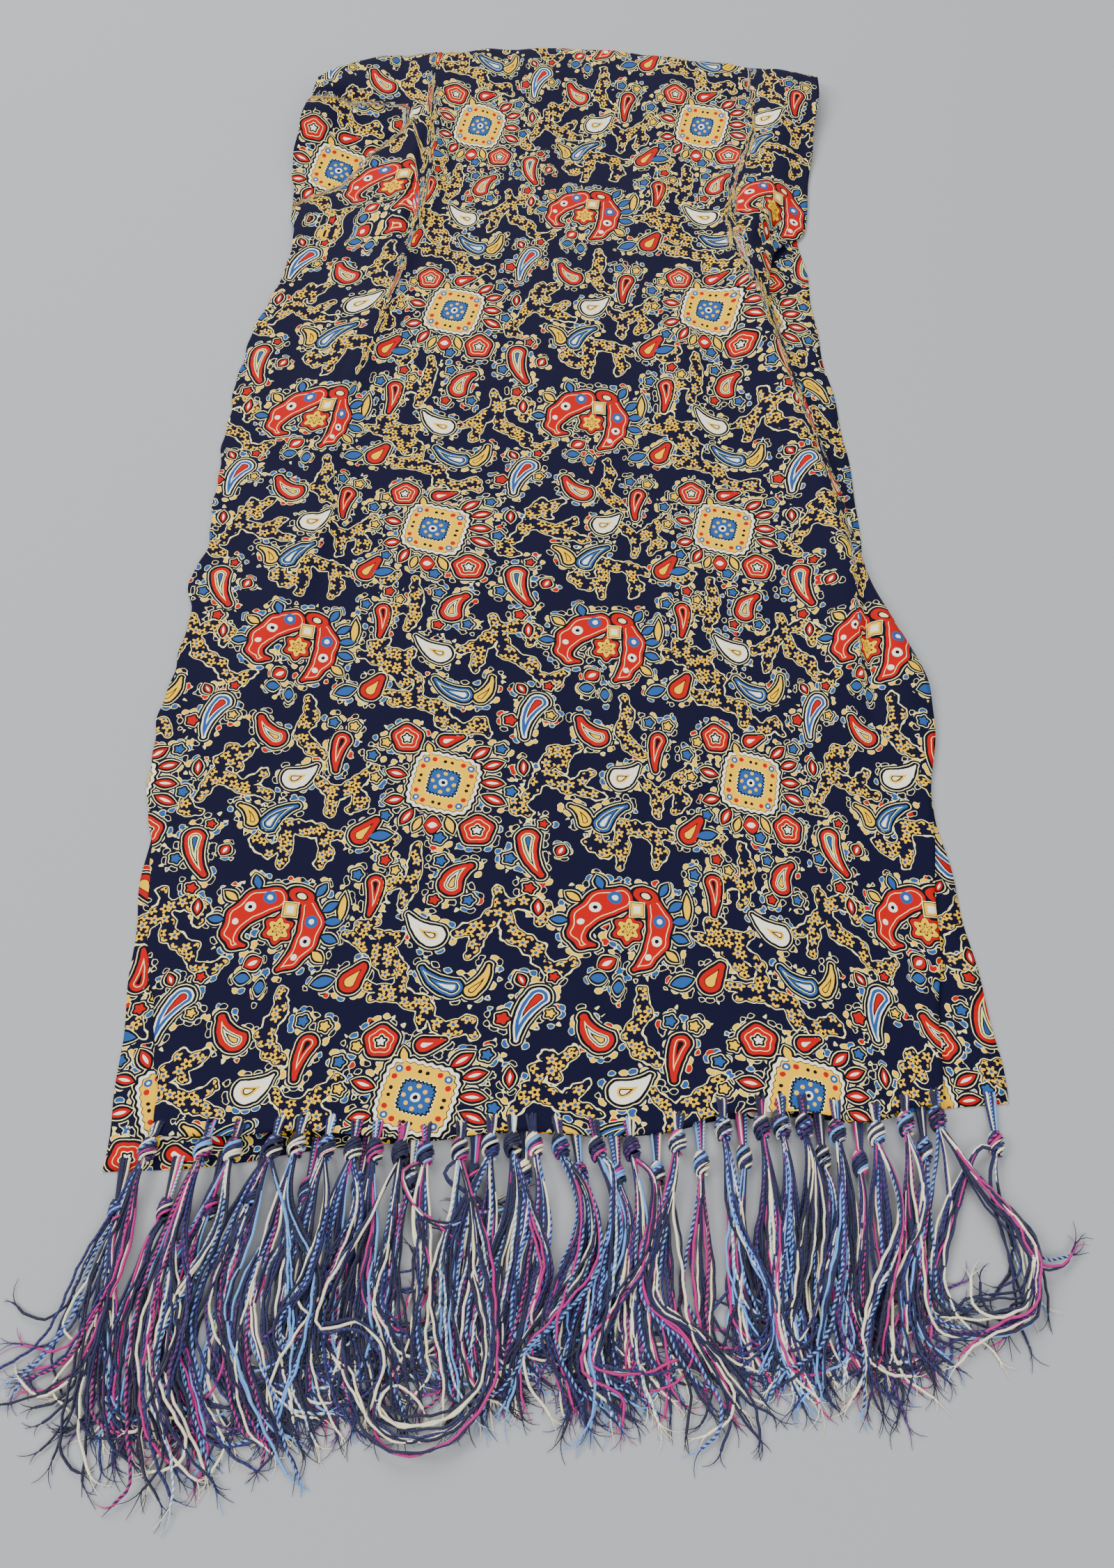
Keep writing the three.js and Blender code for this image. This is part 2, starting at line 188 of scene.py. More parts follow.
# Bands of colour, each with how deep it goes from the edge of its motif; the last one fills the middle
deepest = 16.0
dropBands = {
    "redLattice": [
        ("red", 1.5), ("cream", 1.9), ("black", 2.3), ("cream", 2.9), ("black", 3.3), ("blue", 9),
    ],
    "redCurl": [
        ("red", 1.7), ("cream", 2.1), ("black", 2.5), ("white", 3.0), ("black", 3.4), ("gold", 9),
    ],
    "redPlain": [("red", 1.5), ("cream", 1.8), ("red", 2.5), ("black", 9)],
    "white": [("white", 2.6), ("gold", 3.3), ("black", 3.7), ("white", 9)],
    "blueDark": [("blue", 1.0), ("cream", 1.3), ("black", 1.7), ("blue", 2.4), ("white", 9)],
    "bluePale": [("white", 0.8), ("blue", 2.0), ("white", 2.4), ("black", 2.8), ("red", 9)],
    "gold": [("gold", 1.4), ("black", 1.8), ("gold", 9)],
    "tulip": [("red", 2.0), ("black", 2.3), ("gold", 9)],
    "redWhite": [("red", 1.7), ("white", 9)],
}
# Paisleys and drops
dropColumns = ("head", "tip", "wide", "thin", "bend", "bands")
drops = [
    ((33, -25.5), (37.5, -41), 4.1, 1.2, -1.6, "redLattice"),
    ((7, -45), (13, -37), 4.4, 1.3, 1.6, "redCurl"),
    ((104.5, -44.5), (103, -57.5), 3.3, 0.9, 0.7, "redPlain"),
    ((68.5, 1.5), (77.5, 7.5), 4.7, 0.4, -1.2, "white"), ((2, -66), (-8, -57.5), 4.5, 0.4, 1.2, "white"),
    ((60, -19), (70.5, -11), 3.5, 0.8, 1.5, "blueDark"),
    ((53.5, -17.5), (48.5, -11), 2.6, 0.6, -1.2, "gold"),
    ((10, -86.5), (-0.5, -79), 3.6, 0.8, 1.5, "blueDark"),
    ((16.5, -87.5), (21.5, -78), 2.6, 0.6, -1.2, "gold"),
    ((96.5, -24), (102.5, -17.5), 3.9, 1.6, 0.0, "tulip"),
    ((99, -84.5), (103.5, -78.5), 4.2, 1.7, 0.0, "tulip"),
    ((38.5, -90.5), (32.5, -106.5), 4.1, 1.0, -1.8, "bluePale"),
    ((60.5, -106.5), (54, -98), 4.3, 1.4, 1.4, "redCurl"),
    ((87.5, -108), (85, -121.5), 3.4, 0.9, -0.8, "redPlain"),
    ((2.5, 18.5), (9, 20.5), 2.7, 0.7, 0.0, "redWhite"),
]
# Leaves and small flowers: half is half the length and width, turn the angle of the long way
leafColumns = ("at", "half", "turn", "fill")
leafSize = {"long": 1.2, "wide": 1.1, "heart": 0.36}
leaves = [
    ((15.5, 13), (3.4, 1.5), 35, "red"), ((20, 7.5), (3.2, 1.4), 15, "red"),
    ((19.5, -0.5), (3.4, 1.5), -5, "red"), ((20, -8), (3.6, 1.5), -25, "red"),
    ((-17.5, 4), (3.2, 1.5), 165, "red"), ((-18, -8), (3.0, 1.5), 190, "red"),
    ((-12.5, -15.5), (3.2, 1.5), 235, "red"), ((-2, -19.5), (2.8, 3.2), 0, "red"),
    ((4.5, -19.5), (3.0, 1.3), -70, "gold"), ((-8, -19), (2.6, 1.2), -115, "gold"),
    ((-4, 14.8), (2.4, 1.2), 100, "gold"), ((104.5, -24), (3.9, 1.7), 6, "blue"),
    ((88.5, -84.5), (3.6, 1.8), 15, "blue"), ((36.5, -54.5), (2.6, 1.2), 90, "red"),
    ((31.5, -120.5), (2.6, 1.1), 90, "red"), ((32.5, -83.5), (2.0, 1.1), 120, "red"),
    ((92, -55), (4.6, 1.3), 84, "gold"), ((44.5, -30.5), (2.0, 1.5), 60, "red"),
    ((60, -77), (2.6, 2.2), 30, "red"), ((57.5, -83), (2.2, 1.6), 0, "blue"),
    ((64.5, -86.5), (1.6, 2.0), 0, "blue"), ((87.2, -54.5), (2.9, 1.4), 30, "blue"),
    ((88.8, -60.5), (2.9, 1.4), 5, "blue"), ((88, -67.5), (2.9, 1.4), -20, "blue"),
    ((84.6, -74.5), (2.6, 1.3), -40, "gold"), ((83, -47.5), (2.6, 1.3), 55, "blue"),
    ((57.5, -44.3), (2.4, 1.2), 105, "blue"), ((48.3, -50), (2.4, 1.2), 140, "gold"),
    ((43.5, -59.5), (2.4, 1.2), 175, "blue"),
]
# Round blossoms: middle, radius, colour
blossomPetals = {"petals": 5, "depth": 0.3}
dots = [
    ((26.5, -34), 1.7, "blue"), ((33.5, -46.5), 1.7, "red"), ((38.5, -19), 1.3, "red"),
    ((27.5, -98.5), 2.0, "red"), ((43, -96.5), 1.3, "gold"), ((43, -82.5), 1.4, "red"),
    ((2.5, -35), 1.6, "blue"), ((1.5, -51.5), 1.5, "red"), ((13, -51.5), 1.5, "blue"),
    ((97, -41), 1.7, "blue"), ((107.5, -34.5), 1.7, "red"), ((112, -39), 1.5, "gold"),
    ((84, -99.5), 1.7, "blue"), ((92.5, -101.5), 1.6, "gold"), ((1, -25), 1.9, "blue"),
    ((26.5, -4.5), 1.7, "blue"), ((23.5, 15), 1.6, "blue"), ((-27, 12), 1.7, "blue"),
    ((-26, 2), 1.5, "gold"), ((-21, -15), 1.7, "blue"), ((-21.5, 18), 1.6, "gold"),
]
medallionShape = {
    "at": (1, -0.5), "turn": math.radians(-14.6), "reach": 18, "half": 13.2, "corner": 4.6, "scallops": 28,
    "scallop": 0.3,
    "bands": [("white", 1.3), ("black", 1.6), ("gold", 6.7), ("cream", 7.1), ("black", 7.8), ("blue", 16)],
}
# Spots of one quarter of the medallion: middle, radius, colour
medallionSpots = [
    ((9.5, 5.6), 1.0, "red"), ((5.6, 9.5), 1.0, "red"), ((9.4, 1.3), 0.7, "black"),
    ((1.3, 9.4), 0.7, "black"), ((8.7, 8.7), 1.4, "blue"), ((8.7, 8.7), 0.6, "white"),
    ((2.6, 2.6), 0.75, "gold"), ((0, 0), 1.7, "white"), ((0, 0), 0.8, "black"),
    ((4.2, 0), 0.8, "gold"), ((0, 4.2), 0.8, "gold"),
]
rosettes = [(-13, 20), (14.5, -21.5)]
rosetteShape = {
    "turn": 0.3, "petals": 5, "depth": 0.35, "radius": 6.0, "reach": 6.3,
    "bands": [("red", 1.5), ("cream", 1.8), ("red", 3.3), ("cream", 3.7), ("black", 4.6), ("white", 16)],
}
# The pair of crossed paisleys: two crescents of x, y and half width, and what lies on and between them
crescents = [
    [(64.8, -51, 4.9), (58.1, -53.1, 5.3), (51.8, -58.5, 4.3), (49.2, -65, 2.8), (51.2, -69.5, 1.5),
     (55.3, -70, 0.7)],
    [(78.5, -54.5, 3.4), (80.2, -61, 4.8), (78.7, -69, 4.4), (74.7, -76.1, 2.8), (70, -79.5, 0.9)],
]
crescentShape = {"blend": 3.2, "bands": [("red", 1.3), ("cream", 1.6), ("red", 9)]}
crescentSpots = [
    ((62.5, -50.5), 2.6, "blue"), ((62.5, -50.5), 1.1, "white"), ((55.5, -54.5), 2.1, "white"),
    ((55.5, -54.5), 0.8, "black"), ((50.6, -60.5), 1.2, "white"), ((80, -60.5), 2.6, "blue"),
    ((80, -60.5), 1.1, "white"), ((78.6, -68.5), 2.1, "white"), ((78.6, -68.5), 0.8, "black"),
    ((75.3, -74.8), 1.3, "white"),
]
crossCap = {
    "at": (75.2, -49.9), "turn": math.radians(-20), "half": (5.4, 3.3), "reach": 5.5,
    "fills": [(1.0, "red"), (0.5, "black"), (0.36, "cream")],
}
crossPalm = {
    "at": (67, -63.6), "turn": 0.4, "petals": 6, "depth": 0.8, "radius": 5.6, "reach": 7,
    "bands": [("red", 1.3), ("black", 1.6), ("gold", 3.6), ("black", 4.2), ("gold", 16)],
}
crossSquare = {
    "at": (71, -55.5), "turn": math.radians(-5), "half": 3.4, "reach": 4,
    "bands": [("cream", 0.5), ("black", 0.8), ("gold", 1.9), ("white", 16)],
}
# Flowering stems: each a run of points
stems = [
    [(32, -7.5), (39, 3), (49, -2.5), (60, -6.5)], [(49, -2.5), (56.5, 4)], [(44, 14), (46.5, 6)],
    [(65.5, -37), (67, -28.5), (67.5, -20), (74.5, -21), (80, -22), (88.5, -24.5)],
    [(80, -22), (83.5, -31.5), (81, -36.5)], [(-7.5, -28.5), (-7, -37.5), (-8.5, -46.5), (-11.5, -53.5)],
    [(23, -47.5), (25, -54.5), (18.5, -61.5), (9.5, -65)], [(18.5, -61.5), (15, -73.5)],
    [(25, -54.5), (27.5, -65.5), (36.5, -71.5), (38.5, -77.5)],
    [(94, -66), (102.5, -69), (112.5, -72.5), (119.5, -79)],
    [(119.5, -79), (117.5, -89), (128, -93.5), (128, -101)], [(117.5, -89), (108.5, -90)],
    [(73.5, -88), (74.5, -96.5), (70.5, -104.5), (74.5, -111), (80, -115)],
    [(-21, -86), (-11, -88.5), (0.5, -92.5), (4, -98.5)], [(-13.5, -80.5), (-21.5, -72.5)],
    [(78, 1), (85, -6), (92.5, -2), (100.5, 6)], [(85, -6), (83.5, -14.5)],
    [(-22, -64.5), (-14, -68), (-10, -66)], [(-14, -68), (-18, -75)],
    [(39, 3), (41, 9.5), (47, 12), (52, 16)], [(25, -54.5), (33, -52), (38.5, -55.5), (37, -61)],
    [(-8.5, -46.5), (-15, -43), (-20.5, -46), (-19.5, -51)],
    [(4, -98.5), (9.5, -103), (16, -100.5), (18.5, -104.5)], [(38.5, -77.5), (44.5, -80), (49, -76.5)],
    [(92.5, -2), (96, -9), (92, -13)], [(67, -28.5), (60, -30.5), (56, -27), (57.5, -23.5)],
    [(102.5, -69), (101, -62.5), (106, -60.5)], [(27.5, -6), (29, -12), (33, -14)],
    [(-26, -26), (-20, -29), (-16, -25)],
]
printSizes = {
    "far": 50.0, "wobble": 0.55, "wobbleScale": 0.33, "blackLine": 0.8, "creamLine": 1.15,
    "stemHalf": 2.15, "stemEnd": 0.9, "stemBlend": 1.2, "vineDark": 0.75, "vineLine": 1.2,
    "regions": 3, "margin": 7.0,
}
# The blossoms that fill the stems; their places within a cell are in cells
stemBlossom = {
    "cell": 4.3, "scatter": 0.75, "petals": 5, "depth": 0.13, "turns": 9.0, "swell": 1.9, "sink": 0.95,
    "inside": 0.25, "edge": 0.36, "heart": 0.14, "blackHearts": 0.35,
}
# The small petals that stand round the motifs. Of their random values, those above filled are blue,
# those above warm gold and those above red are red
ringPetal = {
    "cell": 3.5, "scatter": 0.8, "reach": 5.0, "fade": 1.7, "fadeDepth": 1.75, "gap": 1.9, "rim": 0.32,
    "filled": 0.4, "warm": 0.64, "red": 0.93,
}


class Print:
    # Builds up the colour of one repeat, motif by motif, and the distance to the nearest motif
    def __init__(self, place, near, colour, region):
        self.place = place
        self.near = near
        self.colour = colour
        self.region = region

    def shows(self, x, y, reach):
        # True if a motif of that reach can be seen in this part of the repeat
        middle, half = self.region
        away = [abs((a - b + repeat / 2) % repeat - repeat / 2) - half for a, b in zip((x, y), middle)]
        return math.hypot(max(away[0], 0), max(away[1], 0)) < reach + printSizes["margin"]

    def section(self, name, draw):
        # Draws some motifs inside a node group of their own
        tree = bpy.data.node_groups.new(name, "ShaderNodeTree")
        sockets = [("Place", "Vector"), ("Near", "Float"), ("Colour", "Color")]
        for label, kind in sockets:
            tree.interface.new_socket(name=label, in_out="INPUT", socket_type="NodeSocket" + kind)
        for label, kind in sockets[1:]:
            tree.interface.new_socket(name=label, in_out="OUTPUT", socket_type="NodeSocket" + kind)
        entry = tree.nodes.new("NodeGroupInput")
        leave = tree.nodes.new("NodeGroupOutput")
        inner = Print(*[Wire(tree, socket) for socket in list(entry.outputs)[:3]], self.region)
        draw(inner)
        tree.links.new(inner.near.socket, leave.inputs[0])
        tree.links.new(inner.colour.socket, leave.inputs[1])
        inputs = {0: self.place, 1: self.near, 2: self.colour}
        self.near = self.place.node("ShaderNodeGroup", inputs, node_tree=tree)
        self.colour = self.near.output(1)

    def around(self, x, y):
        # Places in the copy of the repeat that has this one in its middle
        half = repeat / 2
        return self.place.vector("WRAP", (x + half, y + half, 1.0), (x - half, y - half, -1.0))

    def local(self, x, y, turn, half=(1, 1)):
        # Coordinates in a turned and scaled frame round a place
        off = self.around(x, y).vector("SUBTRACT", (x, y, 0))
        c, s = math.cos(turn), math.sin(turn)
        return off.dot((c / half[0], s / half[0], 0)), off.dot((-s / half[1], c / half[1], 0))

    def joined(self, x, y):
        return x.node("ShaderNodeCombineXYZ", {0: x, 1: y})

    def length(self, x, y):
        return self.joined(x, y).vector("LENGTH", result=1)

    def flower(self, x, y, shape, radius):
        # Distance to a round outline with petals
        lobes = (y.math("ARCTAN2", x) * shape["petals"]).math("COSINE")
        return lobes.math("MULTIPLY_ADD", -shape["depth"], self.length(x, y)) - radius

    def nearer(self, distance):
        self.near = distance.math("MINIMUM", self.near)

    def paint(self, mask, name):
        self.colour = mixed(mask, self.colour, ink[name])

    def banded(self, distance, rows):
        # A motif coloured in bands from its edge inwards
        self.nearer(distance)
        band = distance.node("ShaderNodeValToRGB", {0: distance.math("MULTIPLY_ADD", -1 / deepest, 0.0)})
        ramp = band.socket.node.color_ramp
        ramp.interpolation = "CONSTANT"
        stops = ramp.elements
        stops[0].position = 0
        stops[0].color = (0, 0, 0, 0)
        stops[1].position = 0.004
        stops[1].color = ink[rows[0][0]]
        for before, row in zip(rows, rows[1:]):
            stops.new(before[1] / deepest).color = ink[row[0]]
        self.colour = mixed(band.output(1), self.colour, band)

    def drop(self, row):
        head, tip = Vector(row["head"]), Vector(row["tip"])
        span = tip - head
        reach = span.length
        middle = (head + tip) / 2
        if not self.shows(*middle, reach / 2 + row["wide"]):
            return
        x, y = self.local(*head, math.atan2(-span.x, span.y))
        share = y.math("MULTIPLY", 1 / reach).held()
        hump = share - share * share
        x = abs(hump.math("MULTIPLY_ADD", 4 * row["bend"], x))
        slim = row["wide"] - row["thin"]
        lean = slim / math.sqrt(reach * reach - slim * slim)
        share = x.math("MULTIPLY_ADD", -lean, y).math("MULTIPLY", 1 / reach).held()
        away = self.length(x, share.math("MULTIPLY_ADD", -reach, y))
        away = share.math("MULTIPLY_ADD", slim, away) - row["wide"]
        self.banded(away, dropBands[row["bands"]])

    def leaf(self, row):
        half = row["half"]
        if not self.shows(*row["at"], max(half)):
            return
        size = (half[0] * leafSize["long"], half[1] * leafSize["wide"])
        x, y = self.local(*row["at"], math.radians(row["turn"]), size)
        inside = x.math("MULTIPLY_ADD", x, abs(y))
        small = min(half)
        self.nearer(inside.math("MULTIPLY_ADD", small, -small))
        self.paint(inside < 1, row["fill"])
        if row["fill"] == "red":
            self.paint(inside < leafSize["heart"], "white")

    def dot(self, at, radius, fill):
        if not self.shows(*at, radius):
            return
        away = self.flower(*self.local(*at, 0), blossomPetals, radius)
        self.nearer(away)
        self.paint(away < 0, fill)

    def blossom(self, at, shape):
        if self.shows(*at, shape["reach"]):
            x, y = self.local(*at, shape["turn"])
            self.banded(self.flower(x, y, shape, shape["radius"]), shape["bands"])

    def chain(self, points, blend):
        # Distance to a run of round-ended pieces; points are x, y and radius
        middle = points[len(points) // 2]
        window = self.around(middle[0], middle[1])
        nearest = None
        for a, b in zip(points, points[1:]):
            run = (b[0] - a[0], b[1] - a[1], 0)
            size = run[0] ** 2 + run[1] ** 2
            if not self.shows((a[0] + b[0]) / 2, (a[1] + b[1]) / 2, math.sqrt(size) / 2 + max(a[2], b[2])):
                continue
            off = window.vector("SUBTRACT", (a[0], a[1], 0))
            share = off.dot(run).math("MULTIPLY", 1 / size).held()
            away = off.vector("DISTANCE", share.scaled(run), result=1)
            if a[2] == b[2]:
                away = away - a[2]
            else:
                away = share.math("MULTIPLY_ADD", a[2] - b[2], away) - a[2]
            nearest = away if nearest is None else nearest.math("SMOOTH_MIN", away, blend)
        return nearest


def medallion(work):
    shape = medallionShape
    if not work.shows(*shape["at"], shape["reach"]):
        return
    a, b = work.local(*shape["at"], shape["turn"])
    a, b = abs(a), abs(b)
    powers = a.math("POWER", shape["corner"]) + b.math("POWER", shape["corner"])
    away = powers.math("POWER", 1 / shape["corner"])
    ripple = (a.math("ARCTAN2", b) * shape["scallops"]).math("COSINE")
    work.banded(ripple.math("MULTIPLY_ADD", shape["scallop"], away) - shape["half"], shape["bands"])
    corner = work.joined(a, b)
    for at, radius, fill in medallionSpots:
        work.paint(corner.vector("DISTANCE", (*at, 0), result=1) < radius, fill)


def crossedPaisleys(work):
    for row in crescents:
        away = work.chain(row, crescentShape["blend"])
        if away is not None:
            work.banded(away, crescentShape["bands"])
    for at, radius, fill in crescentSpots:
        if work.shows(*at, 0):
            work.paint(work.around(*at).vector("DISTANCE", (*at, 0), result=1) < radius, fill)
    cap, square = crossCap, crossSquare
    if work.shows(*cap["at"], cap["reach"]):
        inside = work.length(*work.local(*cap["at"], cap["turn"], cap["half"]))
        thin = cap["half"][1]
        work.nearer(inside.math("MULTIPLY_ADD", thin, -thin))
        for edge, fill in cap["fills"]:
            work.paint(inside < edge, fill)
    work.blossom(crossPalm["at"], crossPalm)
    if work.shows(*square["at"], square["reach"]):
        x, y = work.local(*square["at"], square["turn"])
        work.banded(abs(x).math("MAXIMUM", abs(y)) - square["half"], square["bands"])


def printGround(place):
    # What all parts of the repeat share: places with a slight wobble, and cells for blossoms and petals
    wobble = printSizes["wobble"]
    inputs = {"Vector": place, "Scale": printSizes["wobbleScale"], "Detail": 1.0}
    away = place.node("ShaderNodeTexNoise", inputs, 1)
    away = away.vector("MULTIPLY_ADD", (wobble,) * 3, (-wobble / 2,) * 3)
    place = place.vector("ADD", away).vector("MULTIPLY", (1, 1, 0))

    def cells(sizes):
        # Distance to the nearest cell's middle, a random value for that cell, and where its middle is
        inputs = {"Vector": place, "Scale": 1 / sizes["cell"], "Randomness": sizes["scatter"]}
        made = place.node("ShaderNodeTexVoronoi", inputs, voronoi_dimensions="2D")
        return made, place.node("ShaderNodeSeparateXYZ", {0: made.output(1)}), made.output(2)

    middle, kind, home = cells(stemBlossom)
    off = place.vector("SUBTRACT", home)
    x, y = off.dot((1, 0, 0)), off.dot((0, 1, 0))
    turn = kind.math("MULTIPLY_ADD", stemBlossom["turns"], y.math("ARCTAN2", x) * stemBlossom["petals"])
    blossom = turn.math("COSINE").math("MULTIPLY_ADD", -stemBlossom["depth"], middle)
    petal, petalKind, _ = cells(ringPetal)
    # All motifs wait for the cells, so that the shader holds few values at a time
    nudge = (middle + blossom + petal).scaled((1e-5, 0, 0))
    return place.vector("ADD", nudge), (middle, kind, blossom, petal, petalKind)


def printColour(place, shared, region):
    # The colour of the print in one part of the repeat
    middle, kind, blossom, petal, petalKind = shared
    sizes, inStem, ring = printSizes, stemBlossom, ringPetal
    work = Print(place, sizes["far"], ink["ground"], region)

    def drawStems(inner):
        for row in stems:
            halves = [sizes["stemHalf"]] * len(row)
            halves[-1] = sizes["stemEnd"]
            if len(row) > 2:
                halves[0] = sizes["stemEnd"]
            away = inner.chain([(*spot, half) for spot, half in zip(row, halves)], sizes["stemBlend"])
            if away is not None:
                inner.nearer(away)

    work.section("stems", drawStems)
    lumps = middle.math("MULTIPLY_ADD", inStem["swell"], work.near) - inStem["sink"]
    work.colour = mixed(lumps < sizes["vineLine"], ink["ground"], ink["cream"])
    work.paint(lumps < sizes["vineDark"], "ground")
    work.paint((lumps < inStem["inside"]) * (blossom < inStem["edge"]), "gold")
    heart = (middle < inStem["heart"]) * (lumps < 0)
    work.colour = mixed(heart, work.colour, mixed(kind > inStem["blackHearts"], ink["black"], ink["blue"]))

    def drawFigures(inner):
        medallion(inner)
        for at in rosettes:
            inner.blossom(at, rosetteShape)
        crossedPaisleys(inner)
        for row in drops:
            inner.drop(dict(zip(dropColumns, row)))

    def drawSmall(inner):
        for row in leaves:
            inner.leaf(dict(zip(leafColumns, row)))
        for row in dots:
            inner.dot(*row)

    motifs = Print(place, sizes["far"], work.colour, region)
    motifs.section("figures", drawFigures)
    motifs.section("blossoms", drawSmall)
    # Outlines and the ring of small petals lie between the motifs
    colour, near = motifs.colour, motifs.near
    fade = near.math("MULTIPLY_ADD", -1 / ring["fade"], ring["reach"] / ring["fade"]).held()
    petal = petal.math("MULTIPLY_ADD", ring["cell"], 0.0) - fade * ring["fadeDepth"]
    petal = petal.math("MAXIMUM", ring["gap"] - near)
    outside = near > 0
    warm = mixed(petalKind > ring["red"], ink["gold"], ink["red"])
    bright = mixed(petalKind > ring["warm"], ink["blue"], warm)
    petalInk = mixed(petalKind > ring["filled"], ink["ground"], bright)
    free = (lumps > sizes["vineLine"]) * outside
    colour = mixed((petal < 0.0) * free, colour, ink["cream"])
    colour = mixed((petal < -ring["rim"]) * free, colour, petalInk)
    colour = mixed((near < sizes["creamLine"]) * outside, colour, ink["cream"])
    return mixed((near < sizes["blackLine"]) * outside, colour, ink["black"])


def clothMaterial():
    material, tree, first = newMaterial("crepe_print", crepeLook)
    uv = tree.nodes.new("ShaderNodeUVMap")
    uv.uv_map = "print"
    place = Wire(tree, uv.outputs[0]).vector("MULTIPLY", (repeat, repeat, 0))
    grain = place.node("ShaderNodeTexNoise", {"Vector": place, **weave})
    bump = place.node("ShaderNodeBump", {**weaveBump, "Height": grain})
    place, shared = printGround(place)
    home = place.vector("WRAP", (repeat, repeat, 1), (0, 0, -1))
    across, onward = home.dot((1, 0, 0)), home.dot((0, 1, 0))
    # The repeat is drawn in parts, so that a render only works out the part that it is in
    count = printSizes["regions"]
    size = repeat / count

    def part(i, j):
        region = (((i + 0.5) * size, (j + 0.5) * size), size / 2)
        # A shift too small to see keeps the nodes of one part apart from those of another
        shifted = place.vector("ADD", (1e-6 * (i + 1), 1e-6 * (j + 1), 0))
        colour = printColour(shifted, shared, region)
        surface = first if (i, j) == (0, 0) else principled(tree, crepeLook)
        tree.links.new(colour.socket, surface.inputs["Base Color"])
        tree.links.new(bump.socket, surface.inputs["Normal"])
        return Wire(tree, surface.outputs[0])

    def joinedParts(coordinate, made):
        result = made[0]
        for k, shader in enumerate(made[1:], 1):
            result = place.node("ShaderNodeMixShader", {0: coordinate > k * size, 1: result, 2: shader})
        return result

    rows = [joinedParts(across, [part(i, j) for i in range(count)]) for j in range(count)]
    output = next(node for node in tree.nodes if node.type == "OUTPUT_MATERIAL")
    tree.links.new(joinedParts(onward, rows).socket, output.inputs[0])
    inner = sum(len(node.node_tree.nodes) for node in tree.nodes if node.type == "GROUP")
    print("print nodes:", len(tree.nodes) + inner)
    return material


# The cloth. Places are millimetres in the frame's own axes; t counts from the upper hem to the fold

cloth = {
    "hemY": -292, "rowLength": 571, "foldReach": 6, "tuck": 8, "rise": 75, "hemLift": 45, "thick": 0.5,
    "lowest": 0.95, "creaseFloor": 0.9, "flatter": 12, "upperMiddle": 1.85,
    "underMiddle": 0.35, "underRim": 14, "underWave": 0.35,
}
# Each leaf's mesh, the columns of its sides in the table of edges, that of its hem, and how short of the
# fold it ends. Its selvedges have small waves along t: height, length by radian, and where they start
leaf = {
    "upper": {
        "columns": 150, "rows": 300, "turn": 12, "tuck": 3, "hem": 1, "short": 0,
        "sides": [(2, [(0.5, 6.1, 0), (0.35, 2.7, 1)]), (3, [(0.4, 7.3, 0)])],
    },
    "under": {
        "columns": 60, "rows": 130, "hem": 2, "short": 8.3,
        "sides": [(1, [(0.5, 6.7, 0)]), (4, [(0.5, 6.7, 0)])],
    },
}
# Over how far the corners of each table are rounded off
rounding = {"edge": 9, "hem": 6, "fold": 10, "pleat": 14, "crease": 8, "column": 12}
# The crepe's own waves: seed, length, stretch along t, height, then from where they grow, over how far
# and by how much
waves = [(5, 34, 3.2, 0.4, 250, 200, 0.5), (8, 13, 2.2, 0.12, 330, 120, 0.14)]
# Both side edges of both leaves: t, then x of the left edge of the under and upper leaf, then of the right
edges = [
    (0, -150.5, -136, 130, 153), (18, -150, -135.5, 132, 152.5), (36, -150, -139, 133.5, 151),
    (57, -151, -143, 136.5, 148.5), (86, -151.5, -148, 138.5, 146), (112, -153, -149.5, 141, 143),
    (133, -152, -154, 143, 142), (155, -151, -156, 147, 142), (178, -150, -156, 148, 141),
    (207, -147, -152.5, 137, 134), (232, -146, -149, 128, 130), (252, -149, -153, 124.5, 128),
    (268, -144, -147, 123.5, 128), (286, -143, -147, 119, 128.5), (332, -143, -147, 110, 126),
    (372, -141, -145.5, 102, 122), (400, -138, -143, 97.5, 120), (420, -135, -139, 99, 120),
    (438, -128, -133, 104, 119), (450, -123, -128, 121, 117), (470, -123, -128, 123, 118),
    (500, -126, -131, 127, 121), (530, -126, -132, 131, 124), (551, -122, -130, 135, 127),
    (571, -114, -121, 136, 128),
]
# Both hems: x, t of the upper and of the under hem, and how high the upper one lifts
hems = [
    (-152, -1, -12.5, 0), (-122, -1, -11.5, 0), (-105, -1, -9.5, 1), (-86, 0.5, -6, 3),
    (-65, -1, -3.5, 1.5), (-44, -2.5, -2.5, 0), (-14, 1, 1, 0.5), (16, -1, -1, 0), (36, 0, 0, 0.5),
    (54, 6, 5, 2.5), (84, 7, 6, 2.5), (103, 3, 3, 1), (121, 9, 8, 0.5), (153, 11, 10.5, 0),
]
# The fold: x, t where the cloth turns under, and its height there
foldLine = [
    (-135, 518, 14), (-125, 535, 15), (-111, 547, 15), (-87, 559, 13), (-37, 569, 10), (0, 571, 10),
    (38, 567, 10), (74, 560, 9.5), (110, 554, 9), (137, 549, 8),
]
